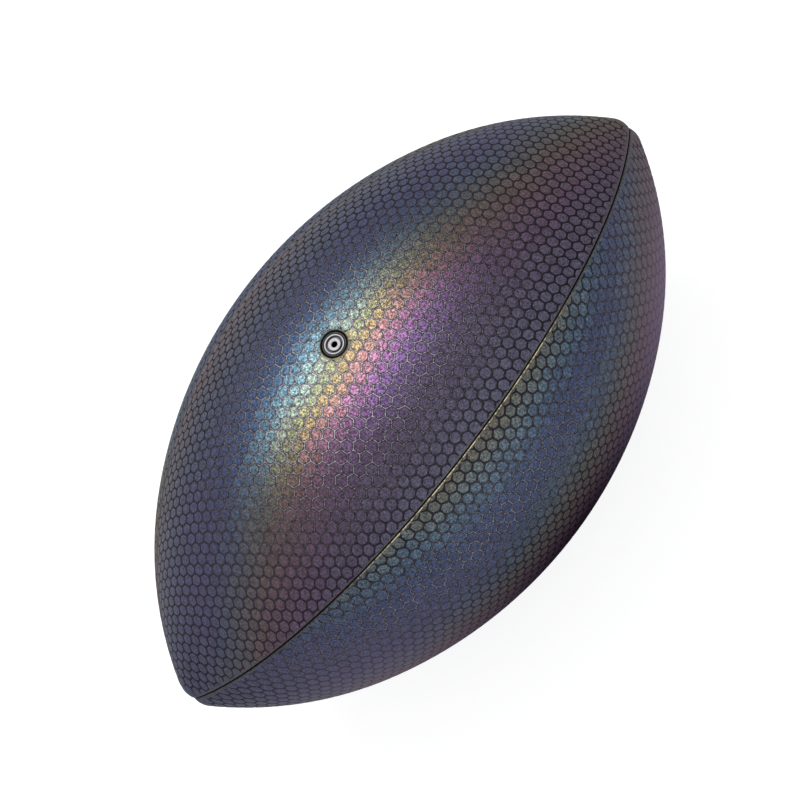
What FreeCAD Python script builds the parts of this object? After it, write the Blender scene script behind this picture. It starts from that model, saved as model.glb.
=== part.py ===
"""Inflatable rugby ball of four stitched panels, built as a parametric FreeCAD document.

The ball's long axis is X and its centre is the origin. The valve is at the middle of the top
panel, on +Z. All sizes are in millimetres.

Each panel is a lobe: the ball's outline turned about an axis that runs parallel to X, a little
way out from the centre towards the middle of the panel, and trimmed to the quarter between two
seam planes. The four lobes meet in shallow recessed seams. Every layer of the wall, from the
printed cover to the bladder, is the same lobe moved in by the depth of the layers over it.
"""

import FreeCAD, Part
import math
import os

import Sketcher

DIMENSIONS = (
    # name, value in mm, what it measures
    ("ball_length", 285.0, "tip to tip"),
    ("ball_diameter", 164.0, "across the crowns of two opposite panels"),
    ("lobe_offset", 3.5, "from the ball's axis out to the axis of each lobe"),
    ("belly_radius", 180.0, "radius of the outline's long middle arc"),
    ("belly_half_span", 87.0, "from mid-length to the end of the middle arc"),
    ("nose_radius", 9.0, "radius of the outline at the tips"),
    ("seam_gap", 0.3, "between the folded edges of two neighbouring panels"),
    ("glue_gap", 0.3, "glue line between one layer and the next"),
    ("cover_thickness", 1.4, "printed cover, and its edges folded in along the seams"),
    ("foam_thickness", 1.6, "foam backing"),
    ("lining_thickness", 0.9, "woven lining"),
    ("bladder_thickness", 0.9, "bladder wall"),
    ("thread_diameter", 0.7, "seam thread"),
    ("stitch_pitch", 4.0, "from one stitch to the next"),
    ("stitch_end", 12.0, "from a tip to the nearest stitch, along X"),
    ("valve_wall", 0.95, "wall of the valve body, round the plug's head"),
    ("valve_fit", 0.15, "round the valve body, in the layers that it passes through"),
    ("valve_sink", 0.3, "from the crown of the panel down to the valve's rim"),
    ("valve_floor", 3.0, "closed bottom of the valve body"),
    ("collar_width", 3.9, "collar of the valve body, under the bladder's patch, out from the stem"),
    ("collar_thickness", 1.5, "collar of the valve body"),
    ("ring_width", 7.75, "stiffening ring set in the foam, out from the edge of the valve hole"),
    ("patch_width", 10.75, "patch under the bladder, out from the edge of the valve hole"),
    ("patch_thickness", 1.0, "patch under the bladder"),
    ("plug_head_radius", 4.1, "head of the valve plug"),
    ("plug_head_depth", 2.0, "head of the valve plug"),
    ("plug_stem_radius", 2.9, "stem of the valve plug"),
    ("plug_length", 18.0, "valve plug, top to bottom"),
    ("plug_play", 0.05, "all round the valve plug in its body"),
    ("plug_rim", 0.4, "thin wall round the groove in the plug's head"),
    ("groove_width", 1.2, "groove in the plug's head, between its rim and its boss"),
    ("groove_depth", 0.9, "groove in the plug's head, round the boss"),
    ("needle_radius", 1.2, "needle hole in the valve plug"),
    ("needle_depth", 13.0, "needle hole in the valve plug"),
)

# Depths below the outer surface of a lobe, and distances from the seam planes.
FOAM_TOP = "(sizes.cover_thickness + sizes.glue_gap)"
FOAM_UNDERSIDE = f"({FOAM_TOP} + sizes.foam_thickness)"
LINING_TOP = f"({FOAM_UNDERSIDE} + sizes.glue_gap)"
LINING_UNDERSIDE = f"({LINING_TOP} + sizes.lining_thickness)"
BLADDER_TOP = f"({LINING_UNDERSIDE} + sizes.glue_gap)"
BLADDER_UNDERSIDE = f"({BLADDER_TOP} + sizes.bladder_thickness)"
PATCH_TOP = f"({BLADDER_UNDERSIDE} + sizes.glue_gap)"
PATCH_UNDERSIDE = f"({PATCH_TOP} + sizes.patch_thickness)"
FOLD_FACE = "(sizes.seam_gap / 2)"
FOLD_BACK = f"({FOLD_FACE} + sizes.cover_thickness)"
LAYER_EDGE = f"({FOLD_BACK} + sizes.thread_diameter + sizes.glue_gap)"

# Radii round the valve's axis.
HEAD_BORE_RADIUS = "(sizes.plug_head_radius + sizes.plug_play)"
STEM_BORE_RADIUS = "(sizes.plug_stem_radius + sizes.plug_play)"
VALVE_RADIUS = f"({HEAD_BORE_RADIUS} + sizes.valve_wall)"
COLLAR_RADIUS = f"({VALVE_RADIUS} + sizes.collar_width)"
HOLE_RADIUS = f"({VALVE_RADIUS} + sizes.valve_fit)"
RING_RADIUS = f"({HOLE_RADIUS} + sizes.ring_width)"
PATCH_RADIUS = f"({HOLE_RADIUS} + sizes.patch_width)"
GROOVE_EDGE_RADIUS = "(sizes.plug_head_radius - sizes.plug_rim)"
BOSS_RADIUS = f"({GROOVE_EDGE_RADIUS} - sizes.groove_width)"

# Heights on the valve's axis. A flat collar under the curved patch drops by the patch's sagitta.
CROWN = "(sizes.ball_diameter / 2)"
VALVE_TOP = f"({CROWN} - sizes.valve_sink)"
HEAD_SEAT = f"({VALVE_TOP} - sizes.plug_head_depth)"
PLUG_BOTTOM = f"({VALVE_TOP} - sizes.plug_length)"
BODY_BORE_BOTTOM = f"({PLUG_BOTTOM} - sizes.plug_play)"
BODY_BOTTOM = f"({BODY_BORE_BOTTOM} - sizes.valve_floor)"
PATCH_DROP = (
    f"(pow({COLLAR_RADIUS}; 2) / (sizes.ball_diameter - 2 * sizes.lobe_offset - 2 * {PATCH_UNDERSIDE}))"
)
COLLAR_TOP = f"({CROWN} - {PATCH_UNDERSIDE} - {PATCH_DROP} - sizes.glue_gap)"
COLLAR_UNDERSIDE = f"({COLLAR_TOP} - sizes.collar_thickness)"

OVERSHOOT = "(-1)"  # a cutting lobe is this much wider than the quarter that it cuts
SMALLEST_NOSE = 0.8  # the tips of deep layers stay at least this round
TIGHTEST_BEND = 0.4  # a thread's bend takes up no more than this share of the shorter run beside it
THREAD_SIDES = 8  # a waxed thread's section: a regular polygon with its corners on the diameter
QUARTER_TURNS = {"top": 0, "front": 90, "bottom": 180, "rear": 270}  # degrees about X
SEAM_TURNS = {"top_front": 45, "front_bottom": 135, "bottom_rear": 225, "rear_top": 315}

ALONG = FreeCAD.Vector(1, 0, 0)

doc = FreeCAD.newDocument("rugby_ball")


def make_sheet():
    """The spreadsheet that holds every driving dimension under its own alias."""
    sheet = doc.addObject("Spreadsheet::Sheet", "sizes")
    for row, (name, value, meaning) in enumerate(DIMENSIONS, start=1):
        sheet.set(f"A{row}", name)
        sheet.set(f"B{row}", str(value))
        sheet.set(f"C{row}", meaning)
        sheet.setAlias(f"B{row}", name)
    doc.recompute()
    return sheet


sizes = make_sheet()


def number(expression):
    """The value of an expression on the sheet, in millimetres."""
    return float(sizes.evalExpression(expression))


# ---------------------------------------------------------------- sketches


def origin_plane(body, role):
    """One of the body's own origin planes, such as XZ_Plane."""
    return next(plane for plane in body.Origin.OriginFeatures if plane.Role == role)


def new_sketch(body, name, role):
    """An empty sketch on one of the body's origin planes."""
    sketch = body.newObject("Sketcher::SketchObject", name)
    sketch.AttachmentSupport = [(origin_plane(body, role), "")]
    sketch.MapMode = "FlatFace"
    return sketch


def bind(sketch, name, expression, kind, *elements):
    """Adds a named dimension to the sketch and ties it to an expression on the sheet."""
    index = sketch.addConstraint(Sketcher.Constraint(kind, *elements, number(expression)))
    sketch.renameConstraint(index, name)
    sketch.setExpression(f"Constraints.{name}", expression)


def lobe_outline(depth):
    """Centres, radii and joints of the outline's arcs, at this depth below the outer surface.

    The belly arc is centred over mid-length and ends at belly_half_span. The shoulder arc
    leaves it smoothly and runs smoothly into the nose arc, whose centre is on the lobe's axis.
    Heights are measured from that axis.
    """
    belly = number("sizes.belly_radius")
    span = number("sizes.belly_half_span")
    nose = max(number("sizes.nose_radius") - depth, SMALLEST_NOSE)
    tip = FreeCAD.Vector(number("sizes.ball_length") / 2 - depth, 0, 0)
    belly_centre = FreeCAD.Vector(0, number(f"{CROWN} - sizes.lobe_offset") - belly, 0)
    nose_centre = FreeCAD.Vector(tip.x - nose, 0, 0)
    leaving = FreeCAD.Vector(span, math.sqrt(belly**2 - span**2), 0) / belly
    belly_end = belly_centre + leaving * (belly - depth)
    reach = belly_end - nose_centre
    shoulder = (reach.dot(reach) - nose**2) / (2 * (reach.dot(leaving) - nose))
    shoulder_centre = belly_end - leaving * shoulder
    shoulder_end = nose_centre + (nose_centre - shoulder_centre).normalize() * nose
    return {
        "belly": (belly_centre, belly - depth),
        "shoulder": (shoulder_centre, shoulder),
        "nose": (nose_centre, nose),
        "joints": (tip, shoulder_end, belly_end),
    }


def mirrored(point):
    """The same point at the other end of the ball."""
    return FreeCAD.Vector(-point.x, point.y, point.z)


def arc(centre, radius, start, end):
    """An arc that runs anticlockwise from start to end."""
    angles = [math.atan2(point.y - centre.y, point.x - centre.x) for point in (start, end)]
    return Part.ArcOfCircle(Part.Circle(centre, FreeCAD.Vector(0, 0, 1), radius), *angles)


def sketch_outline(body, depth):
    """The closed half outline of a lobe, standing on the lobe's axis, in the XZ plane."""
    sketch = new_sketch(body, f"{body.Name}_outline", "XZ_Plane")
    sketch.setExpression("AttachmentOffset.Base.y", "sizes.lobe_offset")
    shape = lobe_outline(number(depth))
    tip, shoulder_end, belly_end = shape["joints"]
    nose_centre, nose = shape["nose"]
    shoulder_centre, shoulder = shape["shoulder"]
    belly_centre, belly = shape["belly"]
    sketch.addGeometry(
        [
            arc(nose_centre, nose, tip, shoulder_end),
            arc(shoulder_centre, shoulder, shoulder_end, belly_end),
            arc(belly_centre, belly, belly_end, mirrored(belly_end)),
            arc(mirrored(shoulder_centre), shoulder, mirrored(belly_end), mirrored(shoulder_end)),
            arc(mirrored(nose_centre), nose, mirrored(shoulder_end), mirrored(tip)),
            Part.LineSegment(mirrored(tip), tip),
        ],
        False,
    )
    start, end, centre, origin, x_axis, y_axis = 1, 2, 3, (-1, 1), -1, -2
    rule = Sketcher.Constraint
    sketch.addConstraint(
        [rule("Tangent", left, end, left + 1, start) for left in range(4)]
        + [
            rule("Coincident", 4, end, 5, start),
            rule("Coincident", 5, end, 0, start),
            rule("PointOnObject", 0, centre, x_axis),
            rule("PointOnObject", 4, centre, x_axis),
            rule("PointOnObject", 2, centre, y_axis),
            rule("Symmetric", 5, start, 5, end, *origin),
            rule("Horizontal", 5),
            rule("Symmetric", 2, start, 2, end, y_axis),
            rule("Equal", 0, 4),
        ]
    )
    belly_end_x = f"sizes.belly_half_span * (sizes.belly_radius - {depth}) / sizes.belly_radius"
    bind(sketch, "belly_radius", f"sizes.belly_radius - {depth}", "Radius", 2)
    bind(sketch, "nose_radius", f"max(sizes.nose_radius - {depth}; {SMALLEST_NOSE})", "Radius", 0)
    bind(sketch, "half_length", f"sizes.ball_length / 2 - {depth}", "DistanceX", *origin, 0, start)
    bind(sketch, "belly_end", belly_end_x, "DistanceX", *origin, 2, start)
    bind(
        sketch,
        "belly_centre",
        f"sizes.belly_radius - {CROWN} + sizes.lobe_offset",
        "DistanceY",
        2,
        centre,
        *origin,
    )
    return sketch


def sketch_polygon(body, name, role, corners):
    """A closed polygon. Each corner is a pair of expressions, tied to the corner's two coordinates."""
    sketch = new_sketch(body, name, role)
    points = [FreeCAD.Vector(number(across), number(height), 0) for across, height in corners]
    following = points[1:] + points[:1]
    sketch.addGeometry([Part.LineSegment(*pair) for pair in zip(points, following)], False)
    count = len(corners)
    sketch.addConstraint(
        [Sketcher.Constraint("Coincident", line, 2, (line + 1) % count, 1) for line in range(count)]
    )
    for line, (across, height) in enumerate(corners):
        bind(sketch, f"across_{line}", across, "DistanceX", -1, 1, line, 1)
        bind(sketch, f"height_{line}", height, "DistanceY", -1, 1, line, 1)
    return sketch


# ---------------------------------------------------------------- bodies and booleans


def lobe_core(name, depth, margin):
    """The solid inside one lobe at this depth, between two planes this far inside the seam planes."""
    body = doc.addObject("PartDesign::Body", name)
    turned = body.newObject("PartDesign::Revolution", f"{name}_lobe")
    turned.Profile = outline = sketch_outline(body, depth)
    turned.ReferenceAxis = (outline, ["H_Axis"])
    turned.Angle = 360
    doc.recompute()
    whole = turned.Shape.Volume

    apex = f"{margin} * sqrt(2)"
    far = "sizes.ball_diameter"
    corners = [
        ("0", apex),
        (far, f"{apex} + {far}"),
        (far, f"-{far}"),
        (f"-{far}", f"-{far}"),
        (f"-{far}", f"{apex} + {far}"),
    ]
    trim = body.newObject("PartDesign::Pocket", f"{name}_trim")
    trim.Profile = sketch_polygon(body, f"{name}_wedge", "YZ_Plane", corners)
    trim.Type = "ThroughAll"
    trim.Midplane = True
    doc.recompute()
    if not 0.1 * whole < trim.Shape.Volume < 0.35 * whole:
        raise ValueError(f"{name}: the seam planes left {trim.Shape.Volume / whole:.2f} of the lobe")
    return body


def turned_body(name, corners):
    """A body of revolution about the valve's axis, from corners given as (radius, height)."""
    body = doc.addObject("PartDesign::Body", name)
    turned = body.newObject("PartDesign::Revolution", f"{name}_turned")
    turned.Profile = profile = sketch_polygon(body, f"{name}_profile", "XZ_Plane", corners)
    turned.ReferenceAxis = (profile, ["V_Axis"])
    turned.Angle = 360
    return body


def boolean(kind, name, base, tool, turn=0):
    """A Part::Cut or Part::Common of two objects, turned about the ball's axis."""
    result = doc.addObject(f"Part::{kind}", name)
    result.Base = base
    result.Tool = tool
    result.Placement = FreeCAD.Placement(FreeCAD.Vector(), FreeCAD.Rotation(ALONG, turn))
    return result


def valve_column(name, radius):
    """A plain cylinder on the valve's axis, from the ball's centre to well above the crown."""
    column = doc.addObject("Part::Cylinder", name)
    column.setExpression("Radius", radius)
    column.setExpression("Height", "sizes.ball_diameter")
    return column


# ---------------------------------------------------------------- the wall's layers


def make_panels(layer, outside, inside, hole):
    """The four panels of one layer, each outside less inside. The top one has a hole for the valve."""
    panels = []
    for side, turn in QUARTER_TURNS.items():
        if side == "top":
            uncut = boolean("Cut", f"{layer}_uncut", outside, inside)
            panels.append(boolean("Cut", f"{layer}_{side}", uncut, hole))
        else:
            panels.append(boolean("Cut", f"{layer}_{side}", outside, inside, turn))
    return panels


def make_wall(hole, ring_hole):
    """Cover, foam, lining and bladder. Returns the sixteen quarters that the ball's wall is made of."""
    cover = boolean(
        "Cut",
        "cover_shell",
        lobe_core("cover_outside", "0", FOLD_FACE),
        lobe_core("cover_inside", "sizes.cover_thickness", FOLD_BACK),
    )
    fold_end = lobe_core("fold_end", LINING_UNDERSIDE, OVERSHOOT)
    layers = make_panels("cover_panel", cover, fold_end, hole)
    for layer, top, underside, opening in (
        ("foam_backing", FOAM_TOP, FOAM_UNDERSIDE, ring_hole),
        ("lining_cloth", LINING_TOP, LINING_UNDERSIDE, hole),
    ):
        outside = lobe_core(f"{layer}_outside", top, LAYER_EDGE)
        inside = lobe_core(f"{layer}_inside", underside, OVERSHOOT)
        layers += make_panels(layer, outside, inside, opening)
    return layers


def make_bladder(hole):
    """One closed hollow bladder, joined from four lobes, open only where the valve goes in."""
    outside = lobe_core("bladder_outside", BLADDER_TOP, "0")
    inside = lobe_core("bladder_inside", BLADDER_UNDERSIDE, OVERSHOOT)
    bladder = doc.addObject("Part::MultiFuse", "bladder")
    bladder.Shapes = make_panels("bladder_quarter", outside, inside, hole)
    bladder.Refine = True
    return bladder


def disc_in_wall(name, top, underside, rim, hole):
    """A round piece of one layer round the valve, as curved as the wall, with the valve's hole in it."""
    outside = lobe_core(f"{name}_outside", top, "0")
    inside = lobe_core(f"{name}_inside", underside, OVERSHOOT)
    layer = boolean("Cut", f"{name}_layer", outside, inside)
    disc = boolean("Common", f"{name}_disc", layer, rim)
    return boolean("Cut", name, disc, hole)


# ---------------------------------------------------------------- the valve


def make_valve_body():
    """Rubber stem with a flush rim, a collar under the patch and a blind stepped bore for the plug."""
    return turned_body(
        "valve_body",
        [
            (HEAD_BORE_RADIUS, VALVE_TOP),
            (VALVE_RADIUS, VALVE_TOP),
            (VALVE_RADIUS, COLLAR_TOP),
            (COLLAR_RADIUS, COLLAR_TOP),
            (COLLAR_RADIUS, COLLAR_UNDERSIDE),
            (VALVE_RADIUS, COLLAR_UNDERSIDE),
            (VALVE_RADIUS, BODY_BOTTOM),
            ("0", BODY_BOTTOM),
            ("0", BODY_BORE_BOTTOM),
            (STEM_BORE_RADIUS, BODY_BORE_BOTTOM),
            (STEM_BORE_RADIUS, HEAD_SEAT),
            (HEAD_BORE_RADIUS, HEAD_SEAT),
        ],
    )


def make_valve_plug():
    """Push-in plug: a head with a groove round a raised boss, and a stem with a blind needle hole."""
    groove_floor = f"{VALVE_TOP} - sizes.groove_depth"
    needle_bottom = f"{VALVE_TOP} - sizes.needle_depth"
    return turned_body(
        "valve_plug",
        [
            ("0", PLUG_BOTTOM),
            ("sizes.plug_stem_radius", PLUG_BOTTOM),
            ("sizes.plug_stem_radius", HEAD_SEAT),
            ("sizes.plug_head_radius", HEAD_SEAT),
            ("sizes.plug_head_radius", VALVE_TOP),
            (GROOVE_EDGE_RADIUS, VALVE_TOP),
            (GROOVE_EDGE_RADIUS, groove_floor),
            (BOSS_RADIUS, groove_floor),
            (BOSS_RADIUS, VALVE_TOP),
            ("sizes.needle_radius", VALVE_TOP),
            ("sizes.needle_radius", needle_bottom),
            ("0", needle_bottom),
        ],
    )


# ---------------------------------------------------------------- the seams


def stitch_line():
    """The thread's path in a seam plane: the outline at the middle of the folds, without its noses.

    In a seam plane the lobes stand lobe_offset / sqrt(2) further out than on their own axes.
    """
    shape = lobe_outline(number(f"({FOAM_TOP} + {LINING_UNDERSIDE}) / 2"))
    lift = FreeCAD.Vector(0, number("sizes.lobe_offset / sqrt(2)"), 0)
    shoulder_centre, shoulder = shape["shoulder"]
    belly_centre, belly = shape["belly"]
    belly_end = shape["joints"][2] + lift
    end_x = number("sizes.ball_length / 2 - sizes.stitch_end")
    rise = math.sqrt(shoulder**2 - (end_x - shoulder_centre.x) ** 2)
    start = FreeCAD.Vector(end_x, shoulder_centre.y + rise, 0) + lift
    path = Part.Wire(
        [
            arc(shoulder_centre + lift, shoulder, start, belly_end).toShape(),
            arc(belly_centre + lift, belly, belly_end, mirrored(belly_end)).toShape(),
            arc(mirrored(shoulder_centre) + lift, shoulder, mirrored(belly_end), mirrored(start)).toShape(),
        ]
    )
    path.rotate(FreeCAD.Vector(), ALONG, 90)
    return path


def rounded_path(corners, radius):
    """A wire of straight runs through the corners, each corner rounded by a tangent arc."""
    edges = []
    start = corners[0]
    for before, corner, after in zip(corners, corners[1:], corners[2:]):
        arriving = (corner - before).normalize()
        leaving = (after - corner).normalize()
        half_turn = arriving.getAngle(leaving) / 2
        trim = radius * math.tan(half_turn)
        inward = (leaving - arriving).normalize()
        middle = corner + inward * (radius / math.cos(half_turn) - radius)
        end = corner - arriving * trim
        edges.append(Part.LineSegment(start, end).toShape())
        start = corner + leaving * trim
        edges.append(Part.Arc(end, middle, start).toShape())
    edges.append(Part.LineSegment(start, corners[-1]).toShape())
    return Part.Wire(edges)


def thread_section(centre, direction, diameter):
    """A closed wire of THREAD_SIDES sides across the direction, which is square to the long axis."""
    arm = FreeCAD.Rotation(direction, 180 / THREAD_SIDES).multVec(ALONG * (diameter / 2))
    turn = FreeCAD.Rotation(direction, 360 / THREAD_SIDES)
    corners = []
    for _ in range(THREAD_SIDES):
        corners.append(centre + arm)
        arm = turn.multVec(arm)
    return Part.makePolygon([*corners, corners[0]])


def seam_thread_shape():
    """One seam's thread: a running stitch that passes through both folds at every needle hole.

    Between two holes it lies along the back of one fold, and between the next two along the other.
    """
    diameter = number("sizes.thread_diameter")
    pitch = number("sizes.stitch_pitch")
    side = FreeCAD.Vector(0, number(FOLD_BACK) + diameter / 2, 0)
    path = stitch_line()
    holes = path.discretize(Number=round(path.Length / pitch) + 1)
    corners = []
    for index, hole in enumerate(holes):
        arriving_side = side if index % 2 == 0 else -side
        corners += [hole + arriving_side, hole - arriving_side]
    bend = min(diameter, TIGHTEST_BEND * min(pitch, 2 * side.Length))
    spine = rounded_path(corners, bend)
    section = thread_section(corners[0], corners[1] - corners[0], diameter)
    thread = spine.makePipeShell([section], True, False)
    expected = Part.Face(section).Area * spine.Length
    if not math.isclose(thread.Volume, expected, rel_tol=0.01):
        raise ValueError(f"seam thread: {thread.Volume:.1f} mm3 for a path of {expected:.1f} mm3")
    return thread


def make_seam_threads():
    """The same thread in each of the four seams."""
    shape = seam_thread_shape()
    threads = []
    for seam, turn in SEAM_TURNS.items():
        thread = doc.addObject("Part::Feature", f"seam_thread_{seam}")
        thread.Shape = shape
        thread.Placement = FreeCAD.Placement(FreeCAD.Vector(), FreeCAD.Rotation(ALONG, turn))
        threads.append(thread)
    return threads


# ---------------------------------------------------------------- check and export


def check(pieces):
    """Stops unless every object was computed and every piece is one valid solid."""
    for item in doc.Objects:
        if "Invalid" in item.State or "Error" in item.State:
            raise ValueError(f"{item.Label}: {item.State}")
    for piece in pieces:
        shape = piece.Shape
        if shape.isNull() or not shape.isValid() or len(shape.Solids) != 1:
            raise ValueError(f"{piece.Label} isn't one valid solid")


def export(pieces):
    """Writes each piece to parts/, named by its label."""
    os.makedirs("parts", exist_ok=True)
    for piece in pieces:
        piece.Shape.exportStep(os.path.join("parts", f"{piece.Label}.step"))
        print(f"{piece.Label:28s} {piece.Shape.Volume / 1000:9.3f} cm3")


def main():
    """Builds the ball, checks it and exports its pieces."""
    hole = valve_column("valve_hole", HOLE_RADIUS)
    ring_hole = valve_column("ring_hole", f"{RING_RADIUS} + sizes.valve_fit")
    ring_rim = valve_column("ring_rim", RING_RADIUS)
    patch_rim = valve_column("patch_rim", PATCH_RADIUS)
    pieces = make_wall(hole, ring_hole)
    pieces.append(make_bladder(hole))
    pieces.append(disc_in_wall("valve_hole_ring", FOAM_TOP, FOAM_UNDERSIDE, ring_rim, hole))
    pieces.append(disc_in_wall("bladder_valve_patch", PATCH_TOP, PATCH_UNDERSIDE, patch_rim, hole))
    pieces.append(make_valve_body())
    pieces.append(make_valve_plug())
    pieces += make_seam_threads()
    doc.recompute()
    check(pieces)
    export(pieces)


main()
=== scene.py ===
"""Rugby ball: four embossed colour-shifting panels over foam, cloth and a rubber bladder.

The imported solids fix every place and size. The four cover panels, the valve body and its plug
are rebuilt here with their embossing, rolled seams and small edges, and every layer inside
gets a finish of its own.

Directions: +X runs along the ball, +Z leaves through the valve and -Y faces the camera.
Lengths are in metres. A panel is worked out in its own frame, with its middle on +Z, and is
then turned about X into its quarter.
"""

import logging
import math
from collections.abc import Callable
from dataclasses import dataclass, field
from enum import Enum

import bpy
import numpy as np
from mathutils import Matrix, Vector
from numpy.typing import NDArray


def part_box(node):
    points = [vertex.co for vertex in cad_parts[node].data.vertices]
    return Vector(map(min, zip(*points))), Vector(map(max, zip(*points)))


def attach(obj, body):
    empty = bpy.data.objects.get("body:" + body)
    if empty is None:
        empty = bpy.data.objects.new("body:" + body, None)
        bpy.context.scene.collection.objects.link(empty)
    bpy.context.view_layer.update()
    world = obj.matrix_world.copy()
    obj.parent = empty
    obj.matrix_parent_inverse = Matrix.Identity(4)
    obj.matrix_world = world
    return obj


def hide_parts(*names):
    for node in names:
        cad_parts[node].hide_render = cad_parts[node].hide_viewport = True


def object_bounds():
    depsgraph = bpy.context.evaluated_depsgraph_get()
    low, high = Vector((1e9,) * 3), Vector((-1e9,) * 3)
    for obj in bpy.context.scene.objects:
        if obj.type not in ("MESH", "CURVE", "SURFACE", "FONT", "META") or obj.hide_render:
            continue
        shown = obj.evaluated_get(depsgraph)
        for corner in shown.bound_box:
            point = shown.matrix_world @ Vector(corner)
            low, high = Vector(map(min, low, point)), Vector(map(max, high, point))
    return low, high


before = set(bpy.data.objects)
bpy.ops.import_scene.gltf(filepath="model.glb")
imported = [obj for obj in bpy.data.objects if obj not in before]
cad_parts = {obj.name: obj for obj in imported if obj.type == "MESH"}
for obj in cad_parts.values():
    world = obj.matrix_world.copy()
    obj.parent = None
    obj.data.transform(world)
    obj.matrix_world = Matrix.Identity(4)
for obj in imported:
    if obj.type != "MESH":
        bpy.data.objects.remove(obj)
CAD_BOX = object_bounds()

Floats = NDArray[np.float64]
Ints = NDArray[np.int64]
Height = Callable[[Floats, Floats], Floats]
Colour = tuple[int, int, int]
Linear = tuple[float, float, float, float]
Socket = bpy.types.NodeSocket

MM = 0.001
LOG = logging.getLogger("rugby_ball")


# ---------------------------------------------------------------- mesh helpers


def smooth_step(value: Floats, start: float, end: float) -> Floats:
    """Rises from 0 at start to 1 at end along 3t^2 - 2t^3, where t is the share of the way.

    Args:
        value: Positions to look up.
        start: Where the rise begins.
        end: Where the rise is complete.

    Returns:
        The height of the step at each position.
    """
    share = np.clip((value - start) / (end - start), 0.0, 1.0)
    return share * share * (3.0 - 2.0 * share)


def zip_loops(first: Ints, first_at: Floats, second: Ints, second_at: Floats) -> Ints:
    """Triangles between two closed loops that run side by side with different spacings.

    Both loops are walked together in the order of their positions, which lie in [0, 1). Each
    step along either loop makes one triangle with the other loop's current vertex.

    Args:
        first: Vertex numbers of the first loop, in the order of first_at.
        first_at: Rising positions of the first loop's vertices.
        second: Vertex numbers of the second loop.
        second_at: Rising positions of the second loop's vertices.

    Returns:
        Triangles, one row of three vertex numbers each, wound from first towards second.
    """
    places = np.concatenate([first_at, second_at])
    on_first = np.arange(len(places)) < len(first_at)
    order = np.lexsort((on_first, places))
    stepped_first = on_first[order]
    here_first = (np.cumsum(stepped_first) - 1) % len(first)
    here_second = (np.cumsum(~stepped_first) - 1) % len(second)
    before_first = (here_first - stepped_first) % len(first)
    before_second = (here_second - ~stepped_first) % len(second)
    third = np.where(stepped_first, first[here_first], second[here_second])
    return np.stack([first[before_first], third, second[before_second]], axis=1)


def ladder(first: Ints, second: Ints, closed: bool = False) -> Ints:
    """Triangles between two rows of the same length.

    Args:
        first: Vertex numbers of the first row.
        second: Vertex numbers of the second row.
        closed: Whether the rows are loops.

    Returns:
        Two triangles for each step along the rows, wound from first towards second.
    """
    if closed:
        first, second = np.append(first, first[0]), np.append(second, second[0])
    near = np.stack([first[:-1], first[1:], second[:-1]], axis=1)
    far = np.stack([first[1:], second[1:], second[:-1]], axis=1)
    return np.concatenate([near, far])


def with_area(triangles: Ints) -> NDArray[np.bool_]:
    """Which triangles use three different vertices; a row shrunk to a point leaves others."""
    a, b, c = triangles.T
    return (a != b) & (b != c) & (c != a)


def bisect(low: Floats, high: Floats, test: Callable[[Floats], Floats]) -> Floats:
    """Halves each range until it closes on where the test turns from positive to negative.

    Args:
        low: Places where the test is positive.
        high: Places where it is negative.
        test: The test of a whole row of places.

    Returns:
        The places where it changes sign.
    """
    rounds = 48
    for _ in range(rounds):
        middle = (low + high) / 2
        good = test(middle) > 0
        low, high = np.where(good, middle, low), np.where(good, high, middle)
    return (low + high) / 2


def order_round_axis(points: Floats) -> tuple[Ints, Floats]:
    """Sorts places by their turn about Z.

    Args:
        points: Rows of x, y, z.

    Returns:
        Their order, and in that order their turns as shares of a full one.
    """
    turn = np.arctan2(points[:, 1], points[:, 0]) / (2 * math.pi) % 1.0
    order = np.argsort(turn)
    return order, turn[order]


def order_round_panel(points: Floats) -> Floats:
    """Positions in [0, 1) of a loop's places, out along one side of a panel and back.

    The loop starts at the +X tip. Each half is measured by its steps along X plus a quarter
    of its steps across, which keeps two loops in step where they bend round a nose.

    Args:
        points: The loop's places, in order.

    Returns:
        The position of each: 0 at the +X tip and 0.5 at the other.
    """
    along = points[:, 0]
    half = np.argmax(along < along.min() + 1e-6)
    steps = np.abs(np.diff(along)) + 0.25 * np.linalg.norm(np.diff(points[:, 1:], axis=0), axis=1)
    length = np.concatenate([[0.0], np.cumsum(steps)])
    last = length[-1] + steps[-1]
    going = 0.5 * length / length[half]
    coming = 0.5 + 0.5 * (length - length[half]) / (last - length[half])
    return np.where(np.arange(len(length)) <= half, going, coming)


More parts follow.
